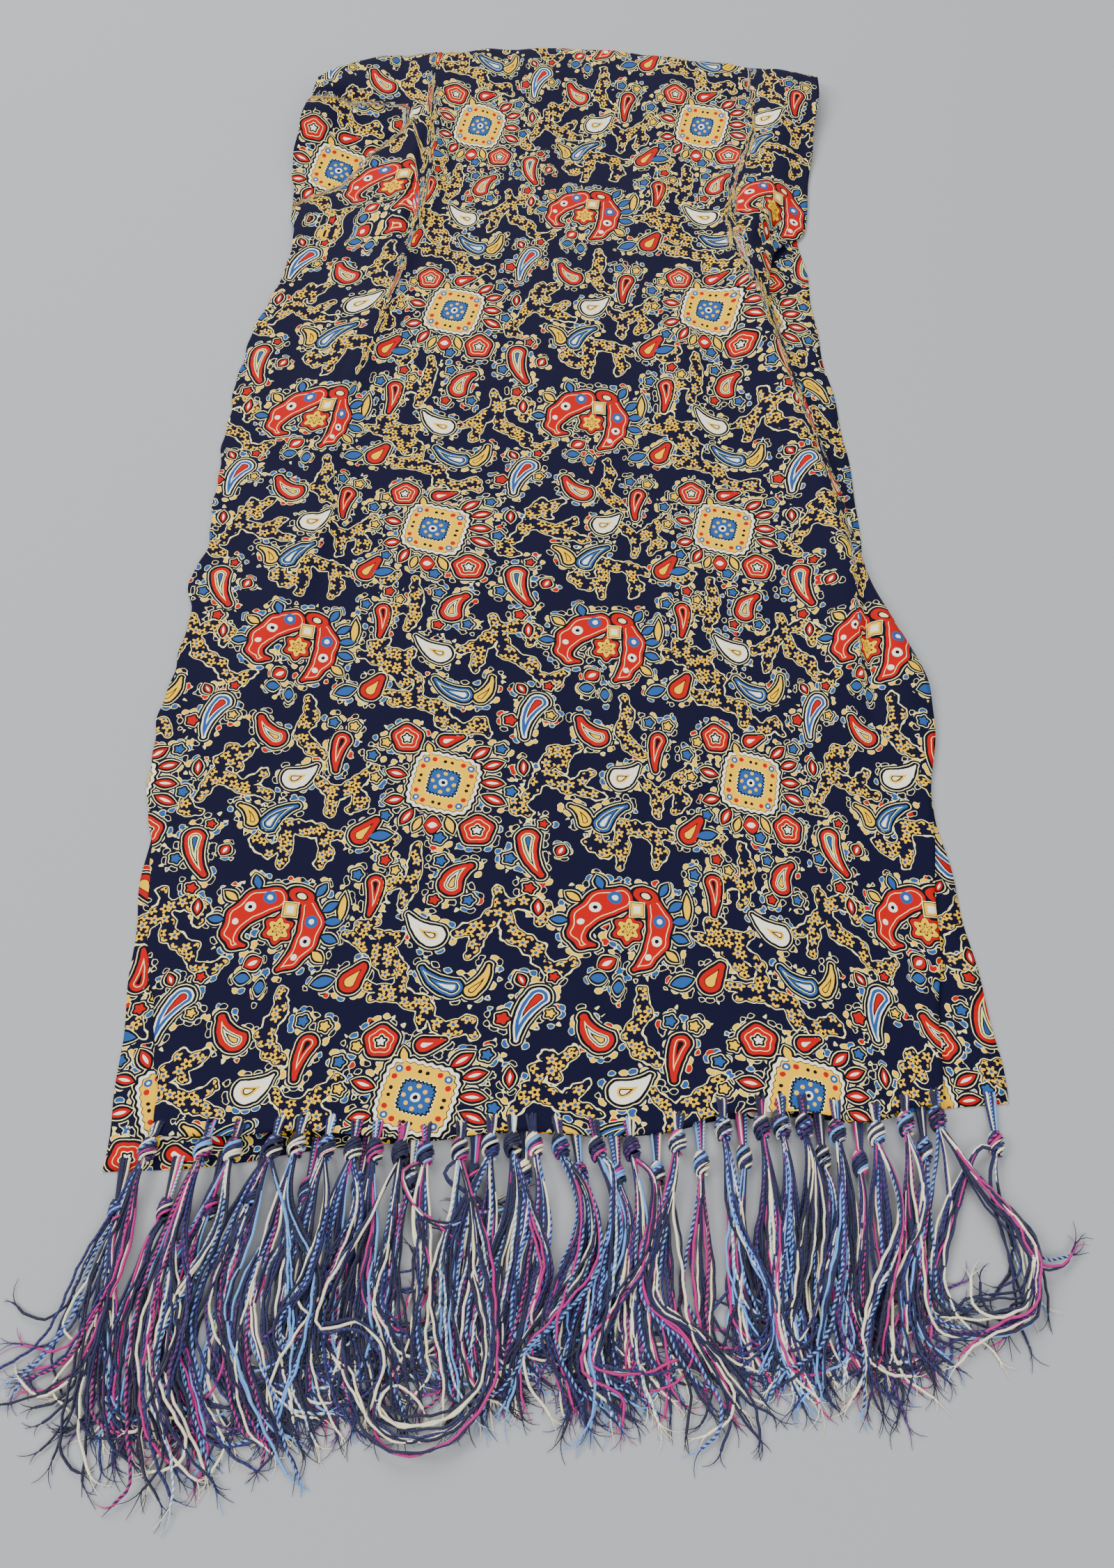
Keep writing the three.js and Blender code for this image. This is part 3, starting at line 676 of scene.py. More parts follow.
# Pleats: t, x, width, height, and how far the crest leans over
leanShare = 0.55
pleats = {
    "left": [
        (140, -119, 10, 0, 0), (180, -117, 10, 2, 2), (225, -110, 10, 3, 3), (262, -101, 10, 3.5, 3),
        (320, -103, 11, 3, 3), (360, -92, 11, 3, 4), (405, -83, 12, 4, 6), (450, -76, 13, 6, 8),
        (492, -72, 15, 7, 8), (530, -70, 20, 3, 2), (571, -68, 24, 0, 0),
    ],
    "right": [
        (165, 121, 10, 0, 0), (200, 117, 9, 4, 3), (235, 117, 9, 6, 4), (286, 110, 9, 6, 4),
        (332, 101, 9, 6, 4), (380, 91, 10, 7, 5), (422, 88, 12, 9, 7), (445, 92, 13, 9, 8),
        (480, 101, 14, 6, 5), (520, 110, 14, 3, 1), (571, 118, 14, 0, 0),
    ],
    "middle": [(285, 53, 9, 0, 0), (320, 56, 9, 2, 1), (355, 59, 9, 2, 1), (400, 60, 9, 0, 0)],
    "flap": [(150, 138, 8, 0, 0), (180, 140, 8, 4, 0), (205, 132.5, 6, 5, 0), (236, 128, 6, 0, 0)],
    "hood": [(488, -128, 14, 0, 0), (510, -122, 16, 4, 0), (540, -112, 22, 3, 0), (571, -104, 20, 0, 0)],
    "notch": [(400, -140, 9, 0, 0), (430, -130, 10, 3, 0), (462, -122, 9, 0, 0)],
    "low": [(60, -112, 12, 0, 0), (110, -116, 9, 1.3, 1), (165, -122, 10, 0, 0)],
    "centreTop": [
        (430, -20, 16, 0, 0), (480, -24, 14, 1.6, 1), (540, -30, 18, 1.2, 0), (571, -32, 18, 0, 0),
    ],
    "rightTop": [(420, 48, 12, 0, 0), (470, 52, 12, 1.6, 1), (540, 60, 16, 1.6, 0), (571, 62, 18, 0, 0)],
}
# Sharp narrow creases pressed into the cloth: t, x, half width, depth
creasePower = 1.6
creases = {
    "leftDark": [
        (410, -82, 1.6, 0), (440, -77, 1.8, 3.0), (485, -74, 2.2, 4.5), (505, -69, 2.0, 2.5),
        (520, -67, 2, 0),
    ],
    "leftLong": [
        (165, -119, 1.4, 0), (216, -114, 1.3, 1.2), (261, -102, 1.4, 1.3), (318, -106, 1.3, 1.2),
        (400, -86, 1.4, 0),
    ],
    "slit": [(150, 123, 1.2, 0), (175, 123.5, 1.5, 3.4), (210, 124.5, 1.6, 3.6), (232, 125, 1.4, 0)],
    "pocket": [
        (416, 90, 2.6, 0), (430, 96, 3, 5), (440, 102, 3.2, 8), (448, 106, 2.8, 5), (456, 108, 2, 0),
    ],
}
# The hem of the hidden corner at the far left: x and t of its edge, then where it shows and how deep it is
cornerHem = {
    "edge": [(-140, 524), (-112, 527), (-96, 522)], "depth": 2.4, "half": 3.0,
    "from": (-142, 6), "until": (-108, 14),
}
# Where the print's columns lie across the cloth at some rows: t, then x of u = -63.5, 0, 63.5, 127, 190.5
printColumns = [
    (19, -110, -49, 17, 84, 140), (73, -103, -47, 23, 78, 129), (132, -105, -44, 20, 73, 124),
    (195, -108, -49, 17, 71, 120), (257, -110, -54, 15, 69, 121), (322, -112, -52, 12, 69, 121),
    (387, -100, -49, 11, 70, 110), (457, -88, -45, 10, 71, 99), (519, -85, -40, 15, 73, 100),
]
# The print's rows: t on the cloth, then v in the print
printRows = [
    (-48, -64), (12.5, 0), (73.5, 63.5), (134, 127), (257, 254), (316, 317.5), (387, 381), (452, 444.5),
    (516, 508), (620, 611),
]
# Beyond this line at the far left the print jumps, as cloth is hidden in a fold: x, then t
foldEdge = [(-130, 460), (-108, 474), (-95, 495), (-78, 512)]
cornerFold = {
    "depth": 2.2, "half": 2.6, "ahead": 1, "until": (-84, 10), "width": 2,
    "beyond": 524, "beyondX": (-80, 4), "shift": (-39.5, 31.4),
    "from": (436, 16), "to": (512, 10), "lowerX": (-76, 4), "lower": -17,
}
# Where cloth is hidden in the pleat at the right: t, then x
rightStep = [
    (150, 122), (235, 122), (286, 115), (380, 96), (425, 82), (448, 82), (477, 88), (503, 97), (571, 122),
]
# From which t on the pleats in the first and fourth column hide print, where that ends, and over how far
hiding = {"start": {0: (230, 110), 3: (150, 110)}, "end": (560, 40), "leftStep": 5, "slack": 1.03, "step": 5}
underPrint = {"shift": (-43.5, 21.3), "foldV": 560}


def along(table, at, column):
    rows = np.array(table, dtype=float)
    return np.interp(at, rows[:, 0], rows[:, column])


def softly(table, at, column, spread):
    # The table's value with its corners rounded off over a spread
    steps = np.linspace(-1, 1, 9)
    weights = np.exp(-2 * steps * steps)
    total = sum(w * along(table, at + s * spread, column) for s, w in zip(steps, weights))
    return total / weights.sum()


def smooth(share):
    held = np.clip(share, 0, 1)
    return held * held * (3 - 2 * held)


def grown(value, start, over):
    # 0 before a start, 1 beyond it
    return smooth((value - start) / over)


def bell(away):
    return np.exp(-away * away)


def ripple(x, y, seed, size, stretch):
    # Smooth waves that never line up, the same on each run
    dice = random.Random(seed)
    total = np.zeros_like(x)
    for _ in range(9):
        angle = dice.uniform(-0.5, 0.5)
        wave = size * dice.uniform(0.6, 1.7)
        across = x * math.cos(angle) + y * math.sin(angle) / stretch
        total += np.sin(2 * math.pi * across / wave + dice.uniform(0, 7)) * dice.uniform(0.5, 1)
    return total / 4.5


def ridges(tables, x, t, over, power):
    # Sums of bells along the tables' lines, one for each column that isn't a line's place or width
    total = 0
    for rows in tables.values():
        middle, width, *sizes = [softly(rows, t, column, over) for column in range(1, len(rows[0]))]
        shape = np.exp(-np.abs((x - middle) / width) ** power)
        total = total + np.array([size * shape for size in sizes])
    return total


def creaseDepth(x, t):
    depth = ridges(creases, x, t, rounding["crease"], creasePower)[0]
    hem, fold = cornerHem, cornerFold
    share = grown(x, *hem["from"]) * (1 - grown(x, *hem["until"]))
    depth += hem["depth"] * share * bell((t - along(hem["edge"], x, 1)) / hem["half"])
    away = (t - along(foldEdge, x, 1) - fold["ahead"]) / fold["half"]
    return depth + fold["depth"] * (1 - grown(x, *fold["until"])) * bell(away)


def clothRow(shape, rowT):
    # x and t along one row of a leaf, with where its hem is and where it ends
    at = np.full(shape["columns"], rowT)
    left, right = [
        softly(edges, at, column, rounding["edge"]) + sum(a * math.sin(rowT / b + c) for a, b, c in bumps)
        for column, bumps in shape["sides"]
    ]
    x = left + (right - left) * np.linspace(0, 1, shape["columns"])
    hem = softly(hems, x, shape["hem"], rounding["hem"])
    end = softly(foldLine, x, 1, rounding["fold"]) - shape["short"]
    return x, hem + (end - hem) * rowT / cloth["rowLength"], hem, end


def upperSurface():
    # Middle surface of the upper leaf, on past the fold, and for each point x and t on the flat cloth
    c, shape = cloth, leaf["upper"]
    spots, fabric = [], []
    for rowT in np.linspace(0, c["rowLength"], shape["rows"]):
        x, t, hem, foldStart = clothRow(shape, rowT)
        roll = softly(foldLine, x, 2, rounding["fold"]) - c["thick"] / 2 - c["upperMiddle"]
        rise = grown(t, foldStart - c["rise"], c["rise"])
        lift = softly(hems, x, 3, rounding["hem"]) * (1 - grown(t, hem, c["hemLift"]))
        height, lean = ridges(pleats, x, t, rounding["pleat"], 2)
        fine = sum(
            ripple(x, t, seed, length, stretch) * (low + more * grown(t, start, over))
            for seed, length, stretch, low, start, over, more in waves
        )
        z = c["upperMiddle"] + roll * rise + height + lift + fine * (0.4 + 0.6 * grown(t, hem, c["flatter"]))
        z -= np.minimum(creaseDepth(x, t), np.maximum(z - c["creaseFloor"], 0))
        spots.append(np.stack([x + lean * leanShare, c["hemY"] + t, np.maximum(z, c["lowest"])], 1))
        fabric.append(np.stack([x, t], 1))
    (lastX, lastY, top), (fabricX, fabricT), low = spots[-1].T, fabric[-1].T, c["underMiddle"]
    for k in range(1, shape["turn"] + 1):
        angle = math.pi * k / shape["turn"]
        z = (top + low) / 2 + (top - low) / 2 * math.cos(angle)
        spots.append(np.stack([lastX, lastY + c["foldReach"] * math.sin(angle), z], 1))
        run = np.maximum((top - low) / 2 * angle, c["foldReach"] * angle / 2)
        fabric.append(np.stack([fabricX, fabricT + run], 1))
    turned = fabric[-1][:, 1]
    for k in range(1, shape["tuck"] + 1):
        run = c["tuck"] * k / shape["tuck"]
        spots.append(np.stack([lastX, lastY - run, np.full_like(lastX, low)], 1))
        fabric.append(np.stack([fabricX, turned + run], 1))
    return np.array(spots), np.array(fabric)


def underSurface():
    c, shape = cloth, leaf["under"]
    shares = np.linspace(0, 1, shape["columns"])
    spots, fabric = [], []
    for rowT in np.linspace(0, c["rowLength"], shape["rows"]):
        x, t, _, _ = clothRow(shape, rowT)
        rim = 1 - smooth(np.minimum(shares, 1 - shares) * (x[-1] - x[0]) / c["underRim"])
        z = c["underMiddle"] + c["underWave"] * rim * (0.5 + 0.5 * np.sin(t / 9.0 + 3 * shares))
        spots.append(np.stack([x, c["hemY"] + t, z], 1))
        fabric.append(np.stack([x, t], 1))
    return np.array(spots), np.array(fabric)


def printPlace(fabric, shift=(0, 0), foldV=None):
    # Where in the print each point of the cloth lies; with foldV the print goes on past the fold
    x, t = fabric[..., 0], fabric[..., 1]
    columns = [softly(printColumns, t.ravel(), k + 1, rounding["column"]).reshape(t.shape) for k in range(5)]
    half = repeat / 2
    until = 1 - grown(t, *hiding["end"])
    creaseAt = {0: along(pleats["left"], t, 1) + hiding["leftStep"], 3: along(rightStep, t, 1)}
    u = x - columns[0] - half
    for k, (a, b) in enumerate(zip(columns, columns[1:])):
        plain = half * (k - 1) + half * (x - a) / (b - a)
        if k in creaseAt:
            hidden = np.maximum(half - (b - a) * hiding["slack"], 0)
            step = smooth((x - creaseAt[k]) / hiding["step"] + 0.5)
            folded = half * (k - 1) + (x - a) * (half - hidden) / (b - a) + hidden * step
            plain = plain + (folded - plain) * grown(t, *hiding["start"][k]) * until
        u = np.where(x >= a, plain, u)
    u = np.where(x >= columns[4], 3 * half + (x - columns[4]), u)
    v = along(printRows, t, 1)
    if foldV is None:
        fold = cornerFold
        beyond = grown(t, along(foldEdge, x, 1), fold["width"]) * (1 - grown(x, *fold["beyondX"]))
        beyond = beyond * (1 - grown(t, fold["beyond"], fold["width"]))
        lower = (1 - beyond) * grown(t, *fold["from"]) * (1 - grown(t, *fold["to"]))
        lower = lower * (1 - grown(x, *fold["lowerX"]))
        u = u + fold["shift"][0] * beyond
        v = v + fold["shift"][1] * beyond + fold["lower"] * lower
    else:
        v = 2 * foldV - v
    return np.stack([(u + shift[0]) / repeat, (v + shift[1]) / repeat], -1)


def clothShell(name, spots, places, thick):
    # A thin closed wall round a middle surface, with the print's places as its uv map
    rows, columns = spots.shape[:2]
    padded = np.pad(spots, ((1, 1), (1, 1), (0, 0)), mode="edge")
    across = padded[1:-1, 2:] - padded[1:-1, :-2]
    onward = padded[2:, 1:-1] - padded[:-2, 1:-1]
    normal = np.cross(across, onward)
    normal /= np.linalg.norm(normal, axis=2, keepdims=True)
    layers = [spots + normal * thick / 2, spots - normal * thick / 2]
    points = np.concatenate([layer.reshape(-1, 3) for layer in layers]) * mm
    uvs = np.tile(places.reshape(-1, 2), (2, 1))
    count = rows * columns
    index = np.arange(count).reshape(rows, columns)
    a, b = index[:-1, :-1].ravel(), index[:-1, 1:].ravel()
    d, e = index[1:, :-1].ravel(), index[1:, 1:].ravel()
    faces = [np.stack([a, b, e, d], 1), np.stack([a, d, e, b], 1) + count]
    for line in (index[0], index[-1][::-1], index[::-1, 0], index[:, -1]):
        p, q = line[:-1], line[1:]
        faces.append(np.stack([p, p + count, q + count, q], 1))
    faces = np.concatenate(faces)
    made = meshObject(name, points.tolist(), faces.tolist())
    layer = made.data.uv_layers.new(name="print")
    layer.data.foreach_set("uv", uvs[faces.ravel()].ravel())
    return made


# The fringe. Each tassel is a bundle of two-ply yarns, looped through the hem and knotted under it

yarn = {"radius": 0.46, "sides": 4, "step": 2.6, "plyTwist": 3.3, "plyBlend": 3.0, "touch": 0.05}
yarnLook = {"Roughness": 0.5, "Specular IOR Level": 0.4, "Sheen Weight": 0.15}
yarnBump = {"Strength": 0.6, "Distance": 0.0002}
yarnInk = linearInks({
    "navy": (16, 18, 66), "night": (7, 7, 30), "indigo": (38, 36, 112), "sky": (112, 168, 236),
    "cream": (255, 244, 206), "magenta": (190, 24, 124), "violet": (96, 30, 118),
})
# Pairs of plies and how often each pair comes
plyPairs = [
    ("navy", "navy", 27), ("navy", "night", 20), ("indigo", "navy", 13), ("indigo", "sky", 5),
    ("sky", "sky", 7), ("navy", "sky", 4), ("cream", "cream", 14), ("cream", "sky", 3),
    ("magenta", "magenta", 8), ("magenta", "navy", 6), ("violet", "navy", 6),
]
# Tassels of each hem: x at the hem, at 30 and at 65 down the run, at the tip, and how far down the tip lies
upperTassels = [
    (-134.5, -145, -161, -174, 80), (-116.5, -124, -131, -126, 106), (-106.5, -115.5, -121, -108, 103),
    (-93, -104, -110, -96, 100), (-85.5, -93, -98, -86, 106), (-75.8, -82, -86, -76, 98),
    (-67, -72, -75, -67, 94), (-60, -63, -65, -58, 90), (-51.5, -54, -55, -49, 92),
    (-43.5, -44, -46, -40, 84), (-32, -33, -36, -31, 90), (-22, -22, -27, -22.5, 91),
    (-15, -12.5, -18.5, -15, 85), (-8, -3, -10.5, -8, 88), (0.5, 8, -1, 0.5, 84), (13, 18, 9, 13.5, 92),
    (24.5, 27, 20, 26, 88), (40.5, 36, 37, 54, 93), (55.5, 56, 57, 65, 78), (68.5, 68, 66, 72, 90),
    (75, 76, 74, 79, 92), (82.5, 84, 81, 87, 86), (93.5, 92, 89, 95, 88), (106.8, 103, 100, 103, 92),
    (117, 114, 110, 114, 88), (127.5, 127, 122, 130, 86),
]
underTassels = [
    (-143.3, -143, -142, -140, 94), (-126, -131, -135, -133, 90), (-111, -118, -122, -118, 92),
    (-97, -106, -110, -104, 88), (-80, -87, -90, -85, 92), (-63.5, -68, -70, -66, 86),
    (-47.5, -50, -51, -46, 84), (-27, -28, -31, -28, 86), (-11.5, -9, -14, -12, 84), (6.5, 11, 6, 7, 86),
    (19, 23, 17, 20, 82), (33, 33, 32, 40, 88), (48, 47, 48, 54, 80), (62, 62, 61, 66, 84),
    (88, 88, 86, 90, 82), (101, 98, 95, 98, 84), (122.5, 121, 117, 122, 80), (146.5, 145, 150, 156, 76),
]
# Locks that wander off on their own: tassel, yarns, spread, then x and distance down of each bend
upperLocks = [
    (1, 9, 2.6, [(-139.5, 36), (-147, 66), (-158, 76), (-170, 81)]),
    (1, 10, 2.8, [(-142.5, 38), (-147, 66), (-147, 85), (-142.5, 102)]),
    (2, 12, 3.2, [(-123.5, 31), (-127.5, 68), (-121.5, 91), (-115, 107)]),
    (2, 8, 3, [(-120, 31), (-118.5, 55), (-120, 79), (-123.5, 104)]),
    (3, 11, 3, [(-116, 31), (-123, 49), (-118, 66), (-106, 87), (-95, 103)]),
    (3, 7, 3, [(-108.5, 31), (-118, 59), (-120, 79), (-104, 105)]),
    (4, 12, 2.4, [(-98, 24), (-105.5, 49), (-101, 69), (-87, 97)]),
    (4, 7, 2, [(-85.5, 34), (-81.5, 65), (-82, 90)]),
    (5, 9, 2.6, [(-86.5, 24), (-78, 45), (-78, 71), (-85, 87)]),
    (6, 9, 2.4, [(-75, 24), (-80, 45), (-87.5, 61), (-81.5, 77)]),
    (7, 9, 2.6, [(-65, 24), (-73.5, 45), (-80.5, 63), (-93, 91)]),
    (8, 9, 2.4, [(-59, 29.5), (-59.5, 51), (-45.5, 71)]),
    (9, 9, 2.4, [(-53.5, 27), (-56, 49), (-51.5, 62.5), (-51.5, 77)]),
    (9, 5, 1.4, [(-62, 30), (-74, 58), (-61, 58), (-51.5, 66), (-51, 74), (-54.5, 85)]),
    (10, 8, 2, [(-50.5, 12), (-44.5, 23.5), (-34, 27), (-25.5, 22.5), (-13.5, 29.5)]),
    (10, 9, 2.4, [(-45.5, 24), (-42, 47), (-44, 59)]),
    (11, 12, 2.2, [(-25, 29.5), (-22, 49), (-22.5, 66), (-24, 78), (-32.5, 89), (-45.5, 92),
     (-54.5, 88), (-60.5, 79), (-65, 66)]),
    (11, 6, 1.8, [(-36.5, 14), (-23, 24), (-24.5, 36)]),
    (12, 10, 2.6, [(-31.5, 29.5), (-35.5, 49), (-32.5, 65)]),
    (13, 10, 2.6, [(-9, 24), (-4.5, 42.5), (-9, 59), (-12, 71)]),
    (15, 9, 2.2, [(10.5, 20.5), (10.5, 40), (-2, 57.5), (-11, 70), (-8, 88)]),
    (15, 8, 1.8, [(8, 24), (6.5, 40), (-2.5, 57.5), (-2.5, 70), (7, 88)]),
    (16, 13, 2.4, [(18, 11.5), (18, 31), (15, 49), (10, 70), (16, 90)]),
    (17, 8, 2, [(32, 16.5), (28, 38), (17.5, 55), (11, 73), (38, 77)]),
    (18, 16, 2.8, [(37.5, 20.5), (30, 40), (29, 56), (43, 66), (53, 78), (63, 94)]),
    (19, 11, 2, [(58, 36), (67, 57.5), (63.5, 70), (53.5, 70)]),
    (22, 10, 2.4, [(84, 20.5), (78, 49), (71, 74)]),
    (23, 12, 2.6, [(91.5, 31), (84.5, 59), (78, 86)]),
    (24, 13, 2.6, [(111, 29.5), (101, 57.5), (96.5, 74), (97, 89)]),
    (25, 10, 2.2, [(120, 29.5), (109.5, 59), (113, 87)]),
    (26, 15, 2.8, [(135, 21.5), (142.5, 33), (152.5, 46), (152, 56.5), (148.5, 67), (136.5, 70),
     (121.5, 66.5)]),
    (26, 8, 2.0, [(135, 21.5), (146, 38), (152.5, 59), (157, 69)]),
]
underLocks = [
    (18, 11, 2.2, [(139, 16), (129.5, 33), (121.5, 52), (119, 70)]),
]
# Knots reach from one distance below the hem to another; lift is how high locks lie on others
fringeLayers = {
    "upper": {
        "rows": upperTassels, "locks": upperLocks, "hemColumn": 1, "yarns": 27, "seed": 0, "lift": 1.4,
        "ownLift": 3.2, "down": (1.6, 8.6), "radius": 2.3, "height": 3.4,
    },
    "under": {
        "rows": underTassels, "locks": underLocks, "hemColumn": 2, "yarns": 15, "seed": 100, "lift": 0.0,
        "ownLift": 1.0, "down": (10.2, 17.4), "radius": 2.0, "height": 2.3,
    },
}
fullTurn = 6.28
plainLocks = {
    "shift": 4, "shares": (0.6, 1, 1.6), "jitter": 1.5, "shorter": 0.93, "spread": 3.0, "lift": 1.4,
    "slant": 0.6, "startAbove": 1.5, "leastLift": 0.2,
}
# How the yarns of a lock part, sway and lie; pairs are the range of a random value
lock = {
    "length": (0.86, 1.06), "shared": (0.6, 1.6), "sharedWave": 17, "open": (4, 40), "closed": 0.2,
    "lane": 0.34, "strandGap": 0.55, "loose": (50, 40), "loosen": 0.7, "strandSway": 1.3, "strandWave": 9,
    "own": (0.2, 0.9), "ownWave": (6, 13), "crimp": 0.25, "crimpWave": (1.2, 1.8),
    "curlRun": (12, 30), "curl": 1.1, "rest": (0, 1.5), "settle": 30, "hump": 1.6, "humpAt": 9, "humpRun": 7,
    "heave": 0.25, "heaveWave": 6, "fall": 25, "thick": (0.85, 1.12), "onFloor": 0.5, "onOthers": 0.4,
}
frayed = {
    "hairs": 3, "turn": 0.26, "length": 9.0, "share": (0.35, 1), "bend": 0.8, "tip": 0.5, "lowest": 0.25,
    "radius": 0.11, "taper": (2.0, 1.5, 1.2, 1.0, 0.6),
}
winding = {
    "count": 8, "jitter": 0.15, "turns": (0.65, 0.95), "steps": 13, "neck": 0.62, "belly": 0.5, "power": 0.8,
    "wide": 1.05, "flat": 0.5, "lowest": 0.5, "twist": 1.8, "thick": 1.25,
}
# The legs' ways: distance below the hem, and how far a leg has moved to its own hole in the cloth. Those
# of the upper layer go on for a random reach
legs = {
    "count": 5, "apart": 1.5, "jitter": 0.3, "side": 0.5, "step": 1.3, "twist": 1.5, "thick": 1.1,
    "upper": [(3.5, 0), (1.5, 0.2), (-0.5, 0.45), (-2.2, 0.7)], "reach": (4.6, 6.6), "lastStep": 1.2,
    "under": [(12.5, 0), (9.5, 0.15), (6, 0.4), (3, 0.6), (0, 0.85), (-3, 0.95), (-4.2, 1)],
    "overCloth": 0.38, "atKnot": 4.6, "underHeight": 1.25, "underSlope": 0.1, "dip": 1.2, "lowest": 0.62,
}


def curveThrough(points, step):
    # Even places on a smooth curve through points
    points = [np.array(p, dtype=float) for p in points]
    ends = [2 * points[0] - points[1]] + points + [2 * points[-1] - points[-2]]
    dense = []
    for a, b, c, d in zip(ends, ends[1:], ends[2:], ends[3:]):
        for k in range(8):
            u = k / 8
            dense.append(0.5 * (2 * b + (c - a) * u + (2 * a - 5 * b + 4 * c - d) * u * u
                                + (3 * b - a - 3 * c + d) * u ** 3))
    dense.append(points[-1])
    dense = np.array(dense)
    run = np.concatenate([[0], np.cumsum(np.linalg.norm(np.diff(dense, axis=0), axis=1))])
    count = max(3, int(round(run[-1] / step)) + 1)
    at = np.linspace(0, run[-1], count)
    return np.stack([np.interp(at, run, dense[:, k]) for k in range(dense.shape[1])], 1), at


def choosePair(dice):
    pick = dice.uniform(0, sum(row[2] for row in plyPairs))
    for row in plyPairs:
        pick -= row[2]
        if pick <= 0:
            return row[:2]
    return plyPairs[0][:2]


def fray(bundle, dice, end, heading, pair):
    share = np.linspace(0, 1, len(frayed["taper"]))
    for _ in range(frayed["hairs"]):
        angle = math.atan2(heading[1], heading[0]) + dice.gauss(0, frayed["turn"])
        length = frayed["length"] * dice.uniform(*frayed["share"])
        way = angle + dice.uniform(-frayed["bend"], frayed["bend"]) * share
        height = end[2] * (1 - share) + frayed["tip"] * share
        spots = np.stack([
            end[0] + np.cos(way) * length * share, end[1] + np.sin(way) * length * share,
            np.maximum(height, frayed["lowest"]),
        ], 1)
        name = dice.choice(pair)
        bundle.append((spots, length * share, frayed["radius"] * np.array(frayed["taper"]), (name, name)))


def sway(dice, at, size, wave):
    return size * np.sin(at / dice.uniform(*wave) + dice.uniform(0, fullTurn))


def hangYarns(bundle, dice, start, bends, count, spread, layer, hemY, startHeight):
    # A lock of yarns from under the knot, down its bends and lying on the surface
    way, runs = curveThrough([start] + [(x, hemY - down) for x, down in bends], yarn["step"])
    shared = dice.uniform(0, fullTurn)
    wander = dice.uniform(*lock["shared"])
    for k in range(count):
        keep = max(4, int(len(way) * min(dice.uniform(*lock["length"]), 1.0)))
        line, at = way[:keep], runs[:keep]
        heading = np.gradient(line, axis=0)
        heading /= np.linalg.norm(heading, axis=1, keepdims=True)
        side = np.stack([-heading[:, 1], heading[:, 0]], 1)
        opened = grown(at, *lock["open"])
        strand = k % 3
        lane = dice.gauss(0, lock["lane"]) * spread + (strand - 1) * spread * lock["strandGap"]
        loose = 1 + lock["loosen"] * grown(at, *lock["loose"])
        off = wander * np.sin(at / lock["sharedWave"] + shared)
        wave = lock["strandWave"] + 2 * strand
        off = off + lock["strandSway"] * np.sin(at / wave + (shared + strand) * 2)
        off = off + sway(dice, at, dice.uniform(*lock["own"]), lock["ownWave"])
        off = off + sway(dice, at, lock["crimp"], lock["crimpWave"])
        off = off * opened + lane * (lock["closed"] + (1 - lock["closed"]) * opened) * loose
        spot = line + side * off[:, None]
        # The last stretch curls away
        bent = min(int(dice.uniform(*lock["curlRun"]) / yarn["step"]), len(spot) - 3)
        step = np.diff(spot[-bent - 1:], axis=0)
        curl = dice.gauss(0, lock["curl"]) * smooth(np.linspace(0, 1, bent))
        cosine, sine = np.cos(curl), np.sin(curl)
        turned = [step[:, 0] * cosine - step[:, 1] * sine, step[:, 0] * sine + step[:, 1] * cosine]
        spot[-bent:] = spot[-bent - 1] + np.cumsum(np.stack(turned, 1), axis=0)
        rest = lock["onFloor"] + layer + dice.uniform(*lock["rest"])
        settle = smooth(at / lock["settle"])
        height = startHeight * (1 - settle) + rest * settle
        height = height + lock["hump"] * bell((at - lock["humpAt"]) / lock["humpRun"])
        height = height + lock["heave"] * np.sin(at / lock["heaveWave"] + dice.uniform(0, 6))
        fall = grown(at, at[-1] - lock["fall"], lock["fall"])
        height = height * (1 - fall) + (lock["onFloor"] + lock["onOthers"] * layer) * fall
        height = np.maximum(height, yarn["radius"] + yarn["touch"])
        pair = choosePair(dice)
        spots = np.concatenate([spot, height[:, None]], 1)
        radius = yarn["radius"] * dice.uniform(*lock["thick"])
        bundle.append((spots, at + dice.uniform(0, 9), radius, pair))
        fray(bundle, dice, spots[-1], spots[-1] - spots[-2], pair)


def hemLine(x, column):
    return cloth["hemY"] + float(softly(hems, np.array([x]), column, rounding["hem"])[0])


def clothTop(x, y):
    away = (upperSpots[..., 0] - x) ** 2 + (upperSpots[..., 1] - y) ** 2
    return float(upperSpots[..., 2].ravel()[np.argmin(away)]) + cloth["thick"] / 2


def tieKnot(bundle, dice, x, slant, layer, hemY):
    # Yarns wound round the tassel's neck
    w, shape = winding, fringeLayers[layer]
    top, low = shape["down"]
    share = np.linspace(0, 1, w["steps"])
    down = top + (low - top) * share
    barrel = shape["radius"] * (w["neck"] + w["belly"] * np.sin(math.pi * share) ** w["power"])
    for k in range(w["count"]):
        start = fullTurn * k / w["count"] + dice.uniform(-w["jitter"], w["jitter"])
        angle = start + dice.uniform(*w["turns"]) * fullTurn * share
        spots = np.stack([
            x + slant * down + barrel * np.cos(angle) * w["wide"],
            hemY - down + w["flat"] * np.sin(angle),
            np.maximum(shape["height"] + barrel * np.sin(angle), w["lowest"]),
        ], 1)
        bundle.append((spots, down * w["twist"], yarn["radius"] * w["thick"], choosePair(dice)))


